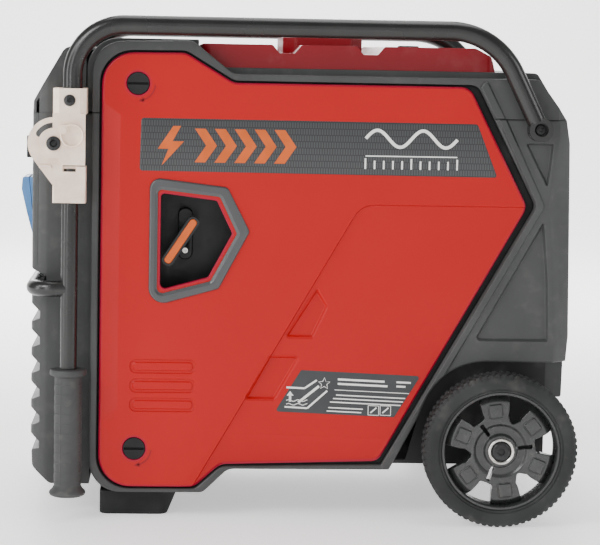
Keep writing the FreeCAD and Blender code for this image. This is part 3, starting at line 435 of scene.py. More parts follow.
def make_finishes(colours):
    """Every finish of the generator, by name."""
    table = FINISHES
    red = Finish("door_red_satin", colours.door_red, 0.34, 0.0, 0.24).mottled(0.03, 4.0)
    red.glossed(0.03, 6.0).grained(900.0, 0.000008, 0.25)
    # painted sheen: a darker crimson laid over the "rim" weight along every door edge and hole edge stands in for the
    # sheen of the rounded edges
    edge = red.node("ShaderNodeAttribute")
    edge.attribute_name = "rim"
    red.tinted(red.ranged(edge.outputs["Fac"], 0.0, 1.0, 0.0, 0.8), (0.27, 0.002, 0.03))
    table["door_red"] = red
    cover = Finish("cover_red_satin", colours.cover_red, 0.34).mottled(0.08, 6.0)
    table["cover_red"] = cover.dusted(0.06).glossed(0.1, 30.0).grained(900.0, 0.00002, 0.35)
    black = Finish("shell_textured_black", colours.shell_black, 0.48, 0.0, 0.45).mottled(0.2, 8.0)
    table["shell"] = black.dusted(0.05, 60.0).glossed(0.12, 90.0).grained(1500.0, 0.00009, 0.8)
    grey = Finish("trim_textured_grey", colours.trim_grey, 0.5).mottled(0.1, 12.0)
    table["trim"] = grey.dusted(0.05, 60.0).glossed(0.1, 90.0).grained(1600.0, 0.00008, 0.7)
    surround = Finish("surround_satin", (0.03, 0.031, 0.033), 0.3, 0.0, 0.7).mottled(0.1, 12.0)
    table["surround"] = surround.glossed(0.05, 30.0).grained(2200.0, 0.00001, 0.3)
    dark = Finish("fitting_black", (0.008, 0.0085, 0.009), 0.36).mottled(0.3, 20.0)
    table["fitting"] = dark.glossed(0.14, 120.0).grained(1800.0, 0.00005, 0.5)
    cast = Finish("wheel_black", (0.016, 0.017, 0.017), 0.3, 0.0, 0.6).mottled(0.25, 25.0)
    table["wheel"] = cast.dusted(0.08, 80.0).glossed(0.14, 90.0).grained(1100.0, 0.00008, 0.6)
    coat = Finish("tube_powder_coat", (0.006, 0.0065, 0.006), 0.27, 0.0, 0.5).mottled(0.12, 25.0)
    table["tube"] = coat.glossed(0.03, 12.0).grained(900.0, 0.00001, 0.3)
    pan = Finish("pan_powder_coat", (0.009, 0.009, 0.01), 0.5).mottled(0.3, 15.0)
    table["pan"] = pan.dusted(0.12, 30.0).glossed(0.12, 60.0).grained(900.0, 0.00008, 0.6)
    zinc = Finish("hinge_zinc", colours.zinc, 0.42, 0.55).mottled(0.14, 45.0)
    zinc.tinted(zinc.ranged(zinc.noise(14.0, 4.0), 0.5, 0.75, 0.0, 0.12), (0.36, 0.27, 0.21))
    table["zinc"] = zinc.glossed(0.14, 70.0).grained(260.0, 0.00006, 0.35)
    screw = Finish("screw_blackened", (0.016, 0.016, 0.017), 0.3, 0.3).mottled(0.3, 90.0)
    table["screw"] = screw.glossed(0.16, 200.0).grained(1500.0, 0.00004, 0.5)
    steel = Finish("steel_machined", (0.55, 0.53, 0.5), 0.28, 1.0).mottled(0.12, 60.0)
    table["steel"] = steel.glossed(0.14, 400.0).grained(1200.0, 0.00004, 0.4)
    tyre = Finish("tyre_rubber", (0.018, 0.019, 0.019), 0.62, 0.0, 0.2).mottled(0.25, 14.0)
    table["tyre"] = tyre.dusted(0.16, 40.0, (0.22, 0.21, 0.19)).glossed(0.12, 60.0).grained(700.0, 0.00012, 0.6)
    rubber = Finish("grip_rubber", (0.035, 0.036, 0.036), 0.6).mottled(0.2, 20.0)
    table["rubber"] = rubber.dusted(0.12, 60.0).glossed(0.12, 80.0).grained(900.0, 0.0001, 0.6)
    seal = Finish("seal_rubber", (0.006, 0.006, 0.0065), 0.75).mottled(0.3, 30.0)
    table["rubber_black"] = seal.grained(900.0, 0.0001, 0.6)
    alloy = Finish("alloy_cast", (0.32, 0.33, 0.35), 0.5, 0.75).mottled(0.16, 30.0)
    table["alloy"] = alloy.dusted(0.2, 25.0, (0.12, 0.11, 0.1)).glossed(0.16, 60.0).grained(420.0, 0.0002, 0.8)
    muffler = Finish("muffler_heated", (0.25, 0.24, 0.23), 0.38, 0.95).mottled(0.2, 20.0)
    muffler.tinted(muffler.ranged(muffler.noise(9.0, 3.0), 0.45, 0.7, 0.0, 0.6), (0.3, 0.2, 0.13))
    table["muffler"] = muffler.glossed(0.2, 60.0).grained(600.0, 0.00008, 0.5)
    blue = Finish("socket_blue", colours.flap_blue, 0.38).mottled(0.1, 25.0)
    table["blue"] = blue.scuffed(0.06, (0.5, 0.6, 0.7)).glossed(0.1, 60.0).grained(1100.0, 0.00004, 0.5)
    green = Finish("button_green", (0.02, 0.2, 0.05), 0.32).mottled(0.15, 60.0)
    table["green"] = green.glossed(0.1, 120.0).grained(1200.0, 0.00003, 0.4)
    orange = Finish("pull_orange", colours.pull_orange, 0.45).mottled(0.1, 50.0)
    table["orange"] = orange.glossed(0.1, 150.0).grained(1300.0, 0.00008, 0.6)
    ink = Finish("print_white", (0.72, 0.72, 0.7), 0.45).mottled(0.05, 60.0)
    table["white"] = ink.glossed(0.08, 200.0).grained(1500.0, 0.00002, 0.3)
    film = Finish("label_film", (0.05, 0.052, 0.054), 0.4)
    weave = film.node("ShaderNodeTexBrick", Vector=film.node(
        "ShaderNodeMapping", Vector=film.place, Rotation=(math.pi / 2, 0.0, 0.0)).outputs["Vector"], Scale=1.0)
    weave.inputs["Brick Width"].default_value, weave.inputs["Row Height"].default_value = 0.0034, 0.0085
    weave.inputs["Mortar Size"].default_value, weave.inputs["Mortar Smooth"].default_value = 0.0006, 0.3
    film.tinted(film.ranged(weave.outputs["Fac"], 0.0, 1.0, 0.0, 0.75), (0.012, 0.012, 0.013))
    table["film"] = film.glossed(0.08, 80.0).grained(1500.0, 0.00003, 0.4)
    note = Finish("sticker_film", (0.035, 0.037, 0.039), 0.42).mottled(0.1, 25.0)
    table["note"] = note.glossed(0.1, 80.0).grained(1500.0, 0.00003, 0.4)
    glass = Finish("display_glass", (0.006, 0.009, 0.012), 0.12).mottled(0.3, 30.0)
    glass.shader.inputs["Coat Weight"].default_value = 0.6
    table["glass"] = glass.glossed(0.06, 60.0)
    rope = Finish("rope_braid", (0.03, 0.03, 0.032), 0.8).mottled(0.4, 500.0)
    table["rope"] = rope.grained(1500.0, 0.0003, 0.8)
    floor = Finish("floor_pale", (0.88, 0.88, 0.875), 0.6).mottled(0.01, 3.0)
    floor.shader.inputs["Emission Color"].default_value = (1.0, 1.0, 1.0, 1.0)
    floor.shader.inputs["Emission Strength"].default_value = 0.68
    table["floor"] = floor.glossed(0.05, 5.0)


NODE_FINISH = {
    "cover_red": ("tank_cover", "door_near", "door_far"),
    "shell": ("side_shell_near", "side_shell_far", "upper_shell", "control_shell", "control_cap", "rear_panel"),
    "fitting": ("recoil_cup", "starter_handle", "engine_switch",
                "eco_rocker", "breaker_button", "schuko_flap_left", "schuko_flap_right", "air_cleaner", "battery",
                "fuel_cap", "recoil_housing", "fuel_tank", "oil_dipstick"),
    "wheel": ("rim_near", "rim_far"),
    "trim": ("control_panel", "recoil_bezel", "schuko_sockets"),
    "tube": ("carry_tube_near", "carry_tube_far", "tow_frame"),
    "pan": ("base_pan",),
    "zinc": ("hinge_fixed_near", "hinge_fixed_far", "hinge_arm_near", "hinge_arm_far", "lock_pin_near",
             "lock_pin_far"),
    "screw": ("button_screws", "pivot_bolts"),
    "steel": ("axle", "rotor"),
    "tyre": ("tyre_near", "tyre_far"),
    "rubber": ("grip_near", "grip_far"),
    "rubber_black": ("feet", "rubber_mounts", "latch_near_top", "latch_near_bottom", "latch_far"),
    "alloy": ("crankcase", "cylinder", "recoil_pulley", "inverter_module"),
    "muffler": ("muffler", "exhaust_outlet"),
    "blue": ("cee_socket", "cee_flap"),
    "green": ("start_button",),
    "rope": ("starter_rope",),
}

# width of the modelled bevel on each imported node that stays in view, in millimetres
BEVELS = {
    "upper_shell": 2.2, "control_shell": 2.6, "control_cap": 2.6, "rear_panel": 1.4, "tank_cover": 2.4,
    "side_shell_near": 1.5, "side_shell_far": 1.5, "door_near": 2.5, "door_far": 2.5, "recoil_bezel": 1.0,
    "recoil_cup": 1.2, "control_panel": 0.5, "schuko_sockets": 0.5, "schuko_flap_left": 0.8,
    "schuko_flap_right": 0.8, "cee_socket": 1.0, "cee_flap": 1.4, "engine_switch": 0.8, "eco_rocker": 0.6,
    "start_button": 0.6, "breaker_button": 0.6, "latch_near_top": 0.5, "latch_near_bottom": 0.5, "latch_far": 0.5,
    "starter_handle": 1.2, "hinge_fixed_near": 0.5, "hinge_fixed_far": 0.5, "hinge_arm_near": 0.5,
    "hinge_arm_far": 0.5, "base_pan": 0.8, "feet": 2.0, "rim_near": 0.8, "rim_far": 0.8, "battery": 1.5,
    "air_cleaner": 2.0, "crankcase": 2.0, "cylinder": 0.6, "inverter_module": 0.8, "muffler": 1.5,
}


def soften(node, width):
    """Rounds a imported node's sharp edges with live modifiers: weld, merge flat faces, bevel, weighted normals."""
    piece = NODES[node]
    weld = piece.modifiers.new("weld", "WELD")
    weld.merge_threshold = 0.00001
    flat = piece.modifiers.new("flat_faces", "DECIMATE")
    flat.decimate_type = "DISSOLVE"
    flat.angle_limit = math.radians(0.6)
    bevel = piece.modifiers.new("edges", "BEVEL")
    bevel.width, bevel.segments = width * MM, 3
    bevel.limit_method, bevel.angle_limit = "ANGLE", math.radians(33.0)
    bevel.miter_outer = "MITER_ARC"
    bevel.use_clamp_overlap = True
    even = piece.modifiers.new("even_shading", "WEIGHTED_NORMAL")
    even.keep_sharp = False


class StageOperator(bpy.types.Operator):
    """Pale floor with a curved back, soft studio lamps and the camera"""
    bl_idname = "generator.stage"
    bl_label = "Stage"

    def execute(self, context):
        across = np.linspace(-9.0, 9.0, 7)
        bend = np.linspace(0.0, math.pi / 2, 13)
        reach = np.concatenate([[-9.0, -4.0, 0.0], 4.0 + 2.0 * np.sin(bend), [6.0]])
        rise = np.concatenate([[0.0, 0.0, 0.0], 2.0 - 2.0 * np.cos(bend), [6.0]])
        x, y = np.meshgrid(across, reach)
        z = np.repeat(rise[:, None], len(across), 1)
        mesh = bpy.data.meshes.new("floor")
        mesh.from_pydata(np.stack([x, y, z], -1).reshape(-1, 3).tolist(), [],
                         grid_faces(len(reach), len(across), close_columns=False).tolist())
        mesh.polygons.foreach_set("use_smooth", np.ones(len(mesh.polygons), bool))
        mesh.materials.append(FINISHES["floor"].material)
        floor = bpy.data.objects.new("floor", mesh)
        context.scene.collection.objects.link(floor)

        world = bpy.data.worlds.new("studio")
        world.use_nodes = True
        sky = world.node_tree.nodes["Background"]
        sky.inputs["Color"].default_value = (1.0, 1.0, 1.0, 1.0)
        sky.inputs["Strength"].default_value = 0.4
        context.scene.world = world

        def lamp(name, place, aim, size, power, tall=None):
            data = bpy.data.lights.new(name, "AREA")
            data.shape, data.size, data.size_y, data.energy = "RECTANGLE", size, tall or size, power
            made = bpy.data.objects.new(name, data)
            made.location = place
            made.rotation_mode = "QUATERNION"
            made.rotation_quaternion = (Vector(aim) - Vector(place)).to_track_quat("-Z", "Y")
            context.scene.collection.objects.link(made)

        lamp("key_lamp", (-2.4, -2.6, 2.6), (0.0, 0.0, 0.3), 1.5, 84.0)
        lamp("front_lamp", (0.6, -4.2, 1.3), (0.0, 0.0, 0.3), 2.2, 17.0)
        lamp("right_lamp", (3.0, -1.4, 1.5), (0.0, 0.0, 0.3), 1.4, 27.0)
        lamp("top_lamp", (0.2, 0.4, 3.2), (0.0, 0.0, 0.3), 2.2, 60.0)
        lamp("left_strip", (-2.6, -1.1, 1.0), (-0.2, -0.2, 0.35), 0.5, 30.0, 2.2)
        lamp("facet_strip", (-1.75, -3.0, 0.55), (-0.25, -0.2, 0.33), 0.5, 26.0, 1.8)
        lamp("backdrop_lamp", (0.0, 2.2, 3.2), (0.0, 6.0, 1.2), 3.0, 380.0)
        lamp("back_lamp", (-0.5, 3.2, 2.2), (0.0, 0.0, 0.3), 2.0, 90.0)

        yaw, pitch, roll = (math.radians(a) for a in (3.024, -5.585, 1.10))
        ahead = Vector((math.sin(yaw) * math.cos(pitch), math.cos(yaw) * math.cos(pitch), math.sin(pitch)))
        level = Vector((math.cos(yaw), -math.sin(yaw), 0.0))
        up = level.cross(ahead)
        right = level * math.cos(roll) + up * math.sin(roll)
        up = up * math.cos(roll) - level * math.sin(roll)
        data = bpy.data.cameras.new("camera")
        data.sensor_width, data.lens = 36.0, 2269.9 * 36.0 / 600.0
        data.clip_start, data.clip_end = 0.1, 50.0
        camera = bpy.data.objects.new("camera", data)
        turn = Matrix((right, up, -ahead)).transposed().to_4x4()
        camera.matrix_world = Matrix.Translation((-0.154, -3.185, 0.620)) @ turn
        context.scene.collection.objects.link(camera)
        context.scene.camera = camera
        return {"FINISHED"}


class FittingsOperator(bpy.types.Operator):
    """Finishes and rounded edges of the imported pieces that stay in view"""
    bl_idname = "generator.fittings"
    bl_label = "Packed fittings"

    def execute(self, context):
        make_finishes(context.scene.generator_colours)
        for finish, nodes in NODE_FINISH.items():
            for node in nodes:
                NODES[node].data.materials.clear()
                NODES[node].data.materials.append(FINISHES[finish].material)
        for node, width in BEVELS.items():
            soften(node, width)
        return {"FINISHED"}


# ------------------------------------------------------------------ outlines of the moulded plates, in millimetres

DOOR = [(-259.5, 613.5, 42), (-259.5, 41, 42), (-132, 41, 14), (-98, 71.5, 22), (111.6, 77.5, 16),
        (302.2, 419.1, 18), (222, 576.5, 20), (-88, 576.5, 22), (-151, 614.5, 20)]
DOOR_GAP = [(-262, 616, 43), (-262, 39, 43), (-131, 39, 14), (-97.5, 69.3, 22), (116, 73.5, 3),
            (313, 421, 14), (232.5, 579, 16), (-87, 579, 22), (-150, 617, 20)]
RECOIL_HOLE = [(-181, 431, 5), (-108, 422, 4), (-87, 379, 4), (-118, 321, 4), (-181, 303.5, 7)]
BEZEL_OUTER = [(-196, 452, 14), (-94, 440, 8), (-64, 382, 6), (-104, 306, 6), (-196, 280, 20)]
BEZEL_INNER = [(-185, 436, 5), (-104, 427, 4), (-81, 379, 4), (-115, 316, 4), (-185, 297.5, 7)]
CREASE = [(340, 419.5), (82, 419.5, 30), (-148, 18), (340, 18)]
SCOOPS = [[(26, 310.5, 3), (42, 284.5, 6), (22, 241.5, 5), (-17, 241.5, 4)],
          [(-36, 218.5, 3), (7, 218.5, 5), (-27, 158, 6), (-69, 158, 4)]]
SIDE_FACET = [(-300, 580), (-234, 533), (-234, 146), (-300, 90)]
LOW_FACET = [(-93, 114), (121, 109), (190, 20), (-170, 20)]
PAD_HEIGHTS = (151.0, 176.5, 202.0)
LATCH_X, LATCH_HEIGHTS = -212.5, (573.5, 92.4)
SHELL = [(-272, 535), (-272, 33, 42), (-121, 33.5, 12), (-88, 65.5, 20), (126.5, 66.5), (163.6, 137.8),
         (192, 213, 88), (362, 213), (365, 247), (364, 324), (359, 504), (353, 535)]
RIB = [(113.4, 66.6), (313, 421, 14), (256, 540), (270, 540), (327, 421, 14), (127, 66.6)]
REAR_FIELD = [(234, 240, 6), (336, 240, 4), (333, 323, 8), (326, 402, 3), (322, 399, 2)]
HIGH_FIELD = [(296, 505, 3), (329, 441, 3), (333, 470, 3), (336, 505, 3)]
REAR_TURN = [(340, 560), (342, 515), (329, 426), (337, 323), (341, 247), (341, 190), (400, 190), (400, 560)]
LUG_X, LUG_Z = 313.4, 522.6


def band(line, reaches):
    """The same outline at several distances in from its edge."""
    return [inset(line, reach) for reach in reaches]


def door_plate(name, side, holes, node, sizes, material):
    """Door: a flat face with a quarter-round rim, a crease, scoops, pads and two turned-in facets.

    The height is the sum of fillets of the distance to the rim and to each hole, smooth steps of the
    distance to the crease, scoops and pads, and planes that fall with the distance into each facet.
    """
    radius, step = sizes.door_edge, sizes.crease_step
    outer, crease = rounded(DOOR), rounded(CREASE)
    scoops = [rounded(s) for s in SCOOPS]
    pads = [rounded([(-219, z - 9, 8), (-133, z - 9, 8), (-133, z + 9, 8), (-219, z + 9, 8)]) for z in PAD_HEIGHTS]
    facets = [rounded(SIDE_FACET), rounded(LOW_FACET)]

    def height(plan):
        rise = -fillet(inside(outer, plan), radius)
        for hole in holes:
            rise -= fillet(-inside(hole, plan), 1.2)
        rise -= step * ease(inside(crease, plan) / 1.8 + 0.5)
        for scoop in scoops:
            into = inside(scoop, plan)
            rise -= 1.0 * ease(into / 1.0 + 0.5) + 3.4 * ease((into - 0.9) / 3.6)
        for pad in pads:
            into = inside(pad, plan)
            rise -= 1.9 * (ease(into / 1.6 + 0.5) - 0.7 * ease((into - 2.6) / 2.2))
        for facet, slope in zip(facets, (0.22, 0.18)):
            into = inside(facet, plan)
            rise -= slope * np.where(into > 0, np.sqrt(into * into + 1.5) - 1.22, 0.0)
        return np.maximum(rise, -7.2)

    rings = band(outer, [radius * s for s in (0.06, 0.2, 0.42, 0.7, 1.0)]) + band(outer, (4.4,))
    for hole in holes:
        rings += band(hole, (-0.1, -0.45, -1.2, -2.6, -4.4))
    rings += band(crease, (-0.9, -0.45, 0.0, 0.45, 0.9))
    for scoop in scoops:
        rings += band(scoop, (-0.6, 0.0, 0.6, 1.7, 2.7, 3.7, 4.8))
    for pad in pads:
        rings += band(pad, (-0.8, 0.0, 0.8, 2.6, 3.4, 4.2, 4.8))
    for facet in facets:
        rings += band(facet, (0.0, 0.8, 2.2))
    return plate(name, outer, holes, rings, DOOR_FACE, height, DOOR_FACE - 8.0, side, node,
                 material, (node,))


class DoorsOperator(bpy.types.Operator):
    """Side doors with rounded rims, crease, scoops and pads, their seals, and the recoil surround"""
    bl_idname = "generator.doors"
    bl_label = "Side doors"

    def execute(self, context):
        sizes, red = context.scene.generator_sizes, FINISHES["door_red"].material
        latches = [oval(LATCH_X, z, 14.7) for z in LATCH_HEIGHTS]
        door_plate("door_skin_near", -1, [rounded(RECOIL_HOLE), *latches], "door_near", sizes, red)
        vents = [rounded([(-190, z, 3.5), (-75, z, 3.5), (-75, z + 8, 3.5), (-190, z + 8, 3.5)])
                 for z in range(300, 440, 20)]
        door_plate("door_skin_far", 1, [latches[0], *vents], "door_far", sizes, red)

        def seal_height(plan):
            """Half-round: height of a circle across the strip between the two outlines."""
            return -fillet(np.minimum(inside(gap, plan), 99.0) * 0.5, 2.0)

        gap, door = rounded(DOOR_GAP), rounded(DOOR)
        for stem, side in (("near", -1), ("far", 1)):
            plate("door_seal_" + stem, inset(gap, -0.4), [inset(door, 7.0)], band(gap, (0.8, 2.0)), 206.6,
                  seal_height, 200.0, side, "body", FINISHES["rubber_black"].material)

        outer, inner = rounded(BEZEL_OUTER), rounded(BEZEL_INNER)

        def surround_height(plan):
            return 3.0 - fillet(inside(outer, plan), 2.6) - 1.6 * ease(1.0 + inside(inner, plan) / 4.5)

        plate("recoil_surround", outer, [inner], band(outer, (0.15, 0.6, 1.4, 2.6)) + band(
            inner, (-0.9, -1.8, -2.7, -3.6, -4.5)), DOOR_FACE, surround_height, DOOR_FACE, -1, "door_near",
            FINISHES["surround"].material, ("recoil_bezel",))
        return {"FINISHED"}


class SideShellsOperator(bpy.types.Operator):
    """Black side shells: raised rib, recessed fields, turned rear corner and wheel arch"""
    bl_idname = "generator.side_shells"
    bl_label = "Side shells"

    def execute(self, context):
        edge = context.scene.generator_sizes.shell_edge
        outer, gap, rib = rounded(SHELL), rounded(DOOR_GAP), rounded(RIB)
        fields = [rounded(REAR_FIELD), rounded(HIGH_FIELD)]
        turn, lug = rounded(REAR_TURN), oval(LUG_X, LUG_Z, 12.2)
        shoulder = np.array([[246.0, 600.0], [246.0, 0.0], [246.6, 0.0], [246.6, 600.0]])

        def height(plan):
            rise = -fillet(inside(outer, plan), edge) - fillet(-inside(gap, plan), edge)
            rise += 3.0 * ease(inside(rib, plan) / 3.0)
            for field in fields:
                rise -= 5.5 * ease(inside(field, plan) / 4.5)
            into = inside(turn, plan)
            rise -= 0.95 * np.where(into > 0, np.sqrt(into * into + 9.0) - 3.0, 0.0)
            return rise + 6.0 * ease(inside(lug, plan) / 1.6)

        rings = band(outer, [edge * s for s in (0.07, 0.25, 0.55, 1.0)])
        rings += band(gap, [-edge * s for s in (0.07, 0.25, 0.55, 1.0)])
        rings += band(rib, (0.0, 0.8, 1.6, 2.4, 3.0)) + band(lug, (0.0, 0.5, 1.1, 1.6))
        for field in fields:
            rings += band(field, (0.0, 0.9, 1.8, 2.7, 3.6, 4.5))
        rings += band(turn, (0.0, 1.5, 3.0, 5.0, 9.0)) + [shoulder]
        for stem, side in (("near", -1), ("far", 1)):
            node = "side_shell_" + stem
            plate("side_skin_" + stem, outer, [gap], rings, SHELL_FACE, height,
                  lambda plan: np.where(plan[:, 0] > 246.3, 150.0, 176.5), side, "body",
                  FINISHES["shell"].material, (node,))
            rib_top = rounded([(256, 535.6), (235.5, 576), (240, 583, 3), (246, 583, 3), (270, 535.6)])
            plate("rib_top_" + stem, rib_top, [], band(rib_top, (0.15, 0.6, 1.4, 2.6)), SHELL_FACE,
                  lambda plan: 3.0 - fillet(inside(rib_top, plan), 2.6), SHELL_FACE - 0.5, side, "body",
                  FINISHES["shell"].material)
        return {"FINISHED"}


class WheelsOperator(bpy.types.Operator):
    """Tyres with a blocked tread, six-petal wheel discs, barrels, hub rings and axle"""
    bl_idname = "generator.wheels"
    bl_label = "Wheels"

    def execute(self, context):
        blocks = context.scene.generator_sizes.tread_blocks
        radius = WHEEL_HALF[0]
        half = [(78.3, 20.6), (79.4, 22.2), (80.6, 22.4), (81.0, 21.6), (82.2, 21.5), (82.8, 22.5), (84.0, 22.75),
                (88.0, 22.9), (93.0, 22.7), (96.2, 21.6), (98.0, 20.2), (98.9, 19.2), (99.5, 18.4)]
        tread = [(radius, y) for y in np.linspace(17.4, -17.4, 19)]
        profile = half + tread + [(r, -y) for r, y in half[::-1]]

        def block(ring, along, turn):
            """Blocks: a squared sine round the tyre, shifted half a block on each side of the middle."""
            shift = np.where(np.abs(along) > 9.5, 0.0, 0.5)
            wave = np.sin(turn * blocks + shift * 2.0 * math.pi)
            groove = 1.0 - np.clip(wave * 3.0 + 1.6, 0.0, 1.0)
            channel = np.exp(-((np.abs(along) - 9.5) / 1.1) ** 4)
            on_tread = ring > radius - 0.01
            shoulder = (ring > 97.9) & ~on_tread
            drop = np.where(on_tread, 1.7 * np.maximum(groove, channel), np.where(shoulder, 0.8 * groove, 0.0))
            return ring - drop, along

        petals, pads = [], []
        for k in range(6):
            angle = math.radians(38.0 + 60.0 * k)
            spin = np.array([[math.cos(angle), math.sin(angle)], [-math.sin(angle), math.cos(angle)]])
            petal = np.array([(45, -15.5, 3), (50, -17.5, 3), (70, -20.5, 1.5), (73.6, -9, 20), (74.3, 0, 40),
                              (73.6, 9, 20), (70, 20.5, 1.5), (50, 17.5, 3), (45, 15.5, 3)], float)
            petal[:, :2] = petal[:, :2] @ spin
            valley = math.radians(68.0 + 60.0 * k)
            deep = 37.0 if k % 2 == 0 else 46.0
            petals += [tuple(p) for p in petal] + [(deep * math.cos(valley), deep * math.sin(valley), 4.0)]
            square = np.array([(44, -9), (62, -9), (62, 9), (44, 9)], float) @ spin
            pads.append(rounded([(*p, 2.5) for p in square]))
        star = rounded(petals)
        slits = []
        for k in range(3):
            angle = math.radians(8.0 + 120.0 * k)
            spin = np.array([[math.cos(angle), math.sin(angle)], [-math.sin(angle), math.cos(angle)]])
            slits.append(rounded([(*p, 1.4) for p in np.array([(24, -2), (42.5, -2.6), (42.5, 2.6), (24, 2)]) @ spin]))
        hub = oval(0, 0, 9.0)
        centre = np.array([WHEEL_MIDDLE[0], WHEEL_MIDDLE[2]])

        def disc(plan):
            """Hub boss, cone and dish by radius, then petal ends that curl in, pads and edge fillets."""
            flat = plan - centre
            out = np.linalg.norm(flat, axis=1)
            rise = 5.0 * (1.0 - ease((out - 19.5) / 4.0)) - 3.2 * ease((out - 19.5) / 4.0)
            rise += 3.2 * ease((out - 31.0) / 6.0)
            rise -= 8.0 * ease((out - 64.0) / 11.0)
            rise -= fillet(inside(star, flat), 1.3)
            for slit in slits:
                rise -= fillet(-inside(slit, flat), 1.0)
            for pad in pads:
                into = inside(pad, flat)
                rise += 1.9 * ease(into / 1.3) - 0.5 * (ease((into + 1.6) / 1.2) - ease((into + 0.2) / 1.0))
            return rise

        circles = [oval(0, 0, r, 60) for r in (19.5, 20.8, 22.2, 23.5, 31.0, 33.0, 35.0, 37.0)]
        arcs = [oval(0, 0, r, 90) for r in (64.0, 66.5, 69.0, 71.5)]
        rings = circles + arcs + band(star, (0.12, 0.5, 1.3))
        for slit in slits:
            rings += band(slit, (-0.3, -1.0))
        for pad in pads:
            rings += band(pad, (-1.6, -0.8, 0.0, 0.65, 1.3))
        for stem, side in (("near", -1), ("far", 1)):
            body, middle = "wheel_" + stem, (WHEEL_MIDDLE[0], side * abs(WHEEL_MIDDLE[1]), WHEEL_MIDDLE[2])
            lathe("tyre_tread_" + stem, middle, "Y", profile, blocks * 8, body,
                  FINISHES["tyre"].material, ("tyre_" + stem,), block)
            plate("wheel_disc_" + stem, star + centre, [hub + centre] + [s + centre for s in slits],
                  [r + centre for r in rings], 257.0, disc, 243.0, side, body,
                  FINISHES["wheel"].material, ("rim_" + stem,))
            wall = [(74.2, -19.0), (75.0, -20.0), (77.6, -20.0), (78.25, -19.4), (78.25, 19.4), (77.6, 20.0),
                    (75.0, 20.0), (74.2, 19.0), (73.4, 12.0), (73.0, 0.0), (73.4, -12.0)]
            lathe("wheel_barrel_" + stem, middle, "Y", wall, 96, body, FINISHES["wheel"].material)
            ring = [(12.9, 20.2), (17.4, 20.2), (17.4, 22.6), (16.6, 23.6), (15.6, 23.9), (14.4, 23.4), (13.4, 22.4),
                    (12.9, 21.8)]
            lathe("hub_ring_" + stem, middle, "Y", [(r, side * y) for r, y in ring][::side], 64, body,
                  FINISHES["steel"].material)
            head = [(0.0, 262.4), (0.0, 263.4), (4.2, 263.4), (4.6, 265.6), (8.6, 266.4), (11.2, 265.6),
                    (12.4, 263.8), (12.4, 262.2), (8.1, 262.2), (8.1, 255.0), (0.0, 255.0)]
            lathe("axle_bolt_" + stem, (WHEEL_MIDDLE[0], 0, WHEEL_MIDDLE[2]), "Y",
                  [(r, side * y) for r, y in head][1::][::side], 36, "body", FINISHES["screw"].material)
        shaft = [(0.0, -256.0), (7.4, -256.0), (8.0, -255.4), (8.0, 255.4), (7.4, 256.0), (0.0, 256.0)]
        lathe("axle_shaft", (WHEEL_MIDDLE[0], 0, WHEEL_MIDDLE[2]), "Y", shaft, 32, "body",
              FINISHES["steel"].material, ("axle",))
        return {"FINISHED"}


class GripsOperator(bpy.types.Operator):
    """Moulded rubber grips with two seams and wavy chevron ribs"""
    bl_idname = "generator.grips"
    bl_label = "Handle grips"

    def execute(self, context):
        ribs = context.scene.generator_sizes.grip_ribs
        low, top = GRIP_MIDDLE[2] - GRIP_HALF[2], GRIP_MIDDLE[2] + GRIP_HALF[2]
        foot = [(0.0, low), (19.0, low), (22.6, low + 1.6), (24.0, low + 4.4), (23.2, low + 7.2), (20.4, low + 9.6),
                (18.6, low + 12.6)]
        body = [(17.6, z) for z in np.linspace(low + 14.5, top - 12.0, 236)]
        collar = [(18.0, top - 10.6), (20.2, top - 9.2), (23.4, top - 7.8), (24.0, top - 6.0), (24.0, top - 1.6),
                  (23.2, top - 0.4), (21.0, top), (11.1, top), (11.1, low + 8.0), (0.0, low + 8.0)]
        span = (top - low - 26.5) / ribs

        def ribbed(ring, along, turn):
            """Ribs: a raised line at equal heights whose course rises smoothly across each panel."""
            sleeve = (ring > 17.55) & (ring < 17.65)
            share = (turn / (2.0 * math.pi) * 3.0) % 1.0
            course = along - 13.0 * ease((share - 0.3) / 0.4)
            nearest = np.abs((course / span) % 1.0 - 0.5) * span
            rib = np.exp(-((span / 2 - nearest) / 0.75) ** 2) * 0.55
            seam = np.exp(-((np.minimum(share, 1.0 - share) * 2.0 * math.pi / 3.0 * 17.6) / 0.7) ** 2) * 0.75
            ends = ease((along - low - 14.0) / 4.0) * ease((top - 12.0 - along) / 4.0)
            return ring + np.where(sleeve, np.maximum(rib, seam) * ends, 0.0), along

        for stem, side in (("near", -1), ("far", 1)):
            lathe("grip_sleeve_" + stem, (GRIP_MIDDLE[0], side * abs(GRIP_MIDDLE[1]), 0.0), "Z", foot + body + collar,
                  90, "tow_handle", FINISHES["rubber"].material, ("grip_" + stem,), ribbed)
        return {"FINISHED"}


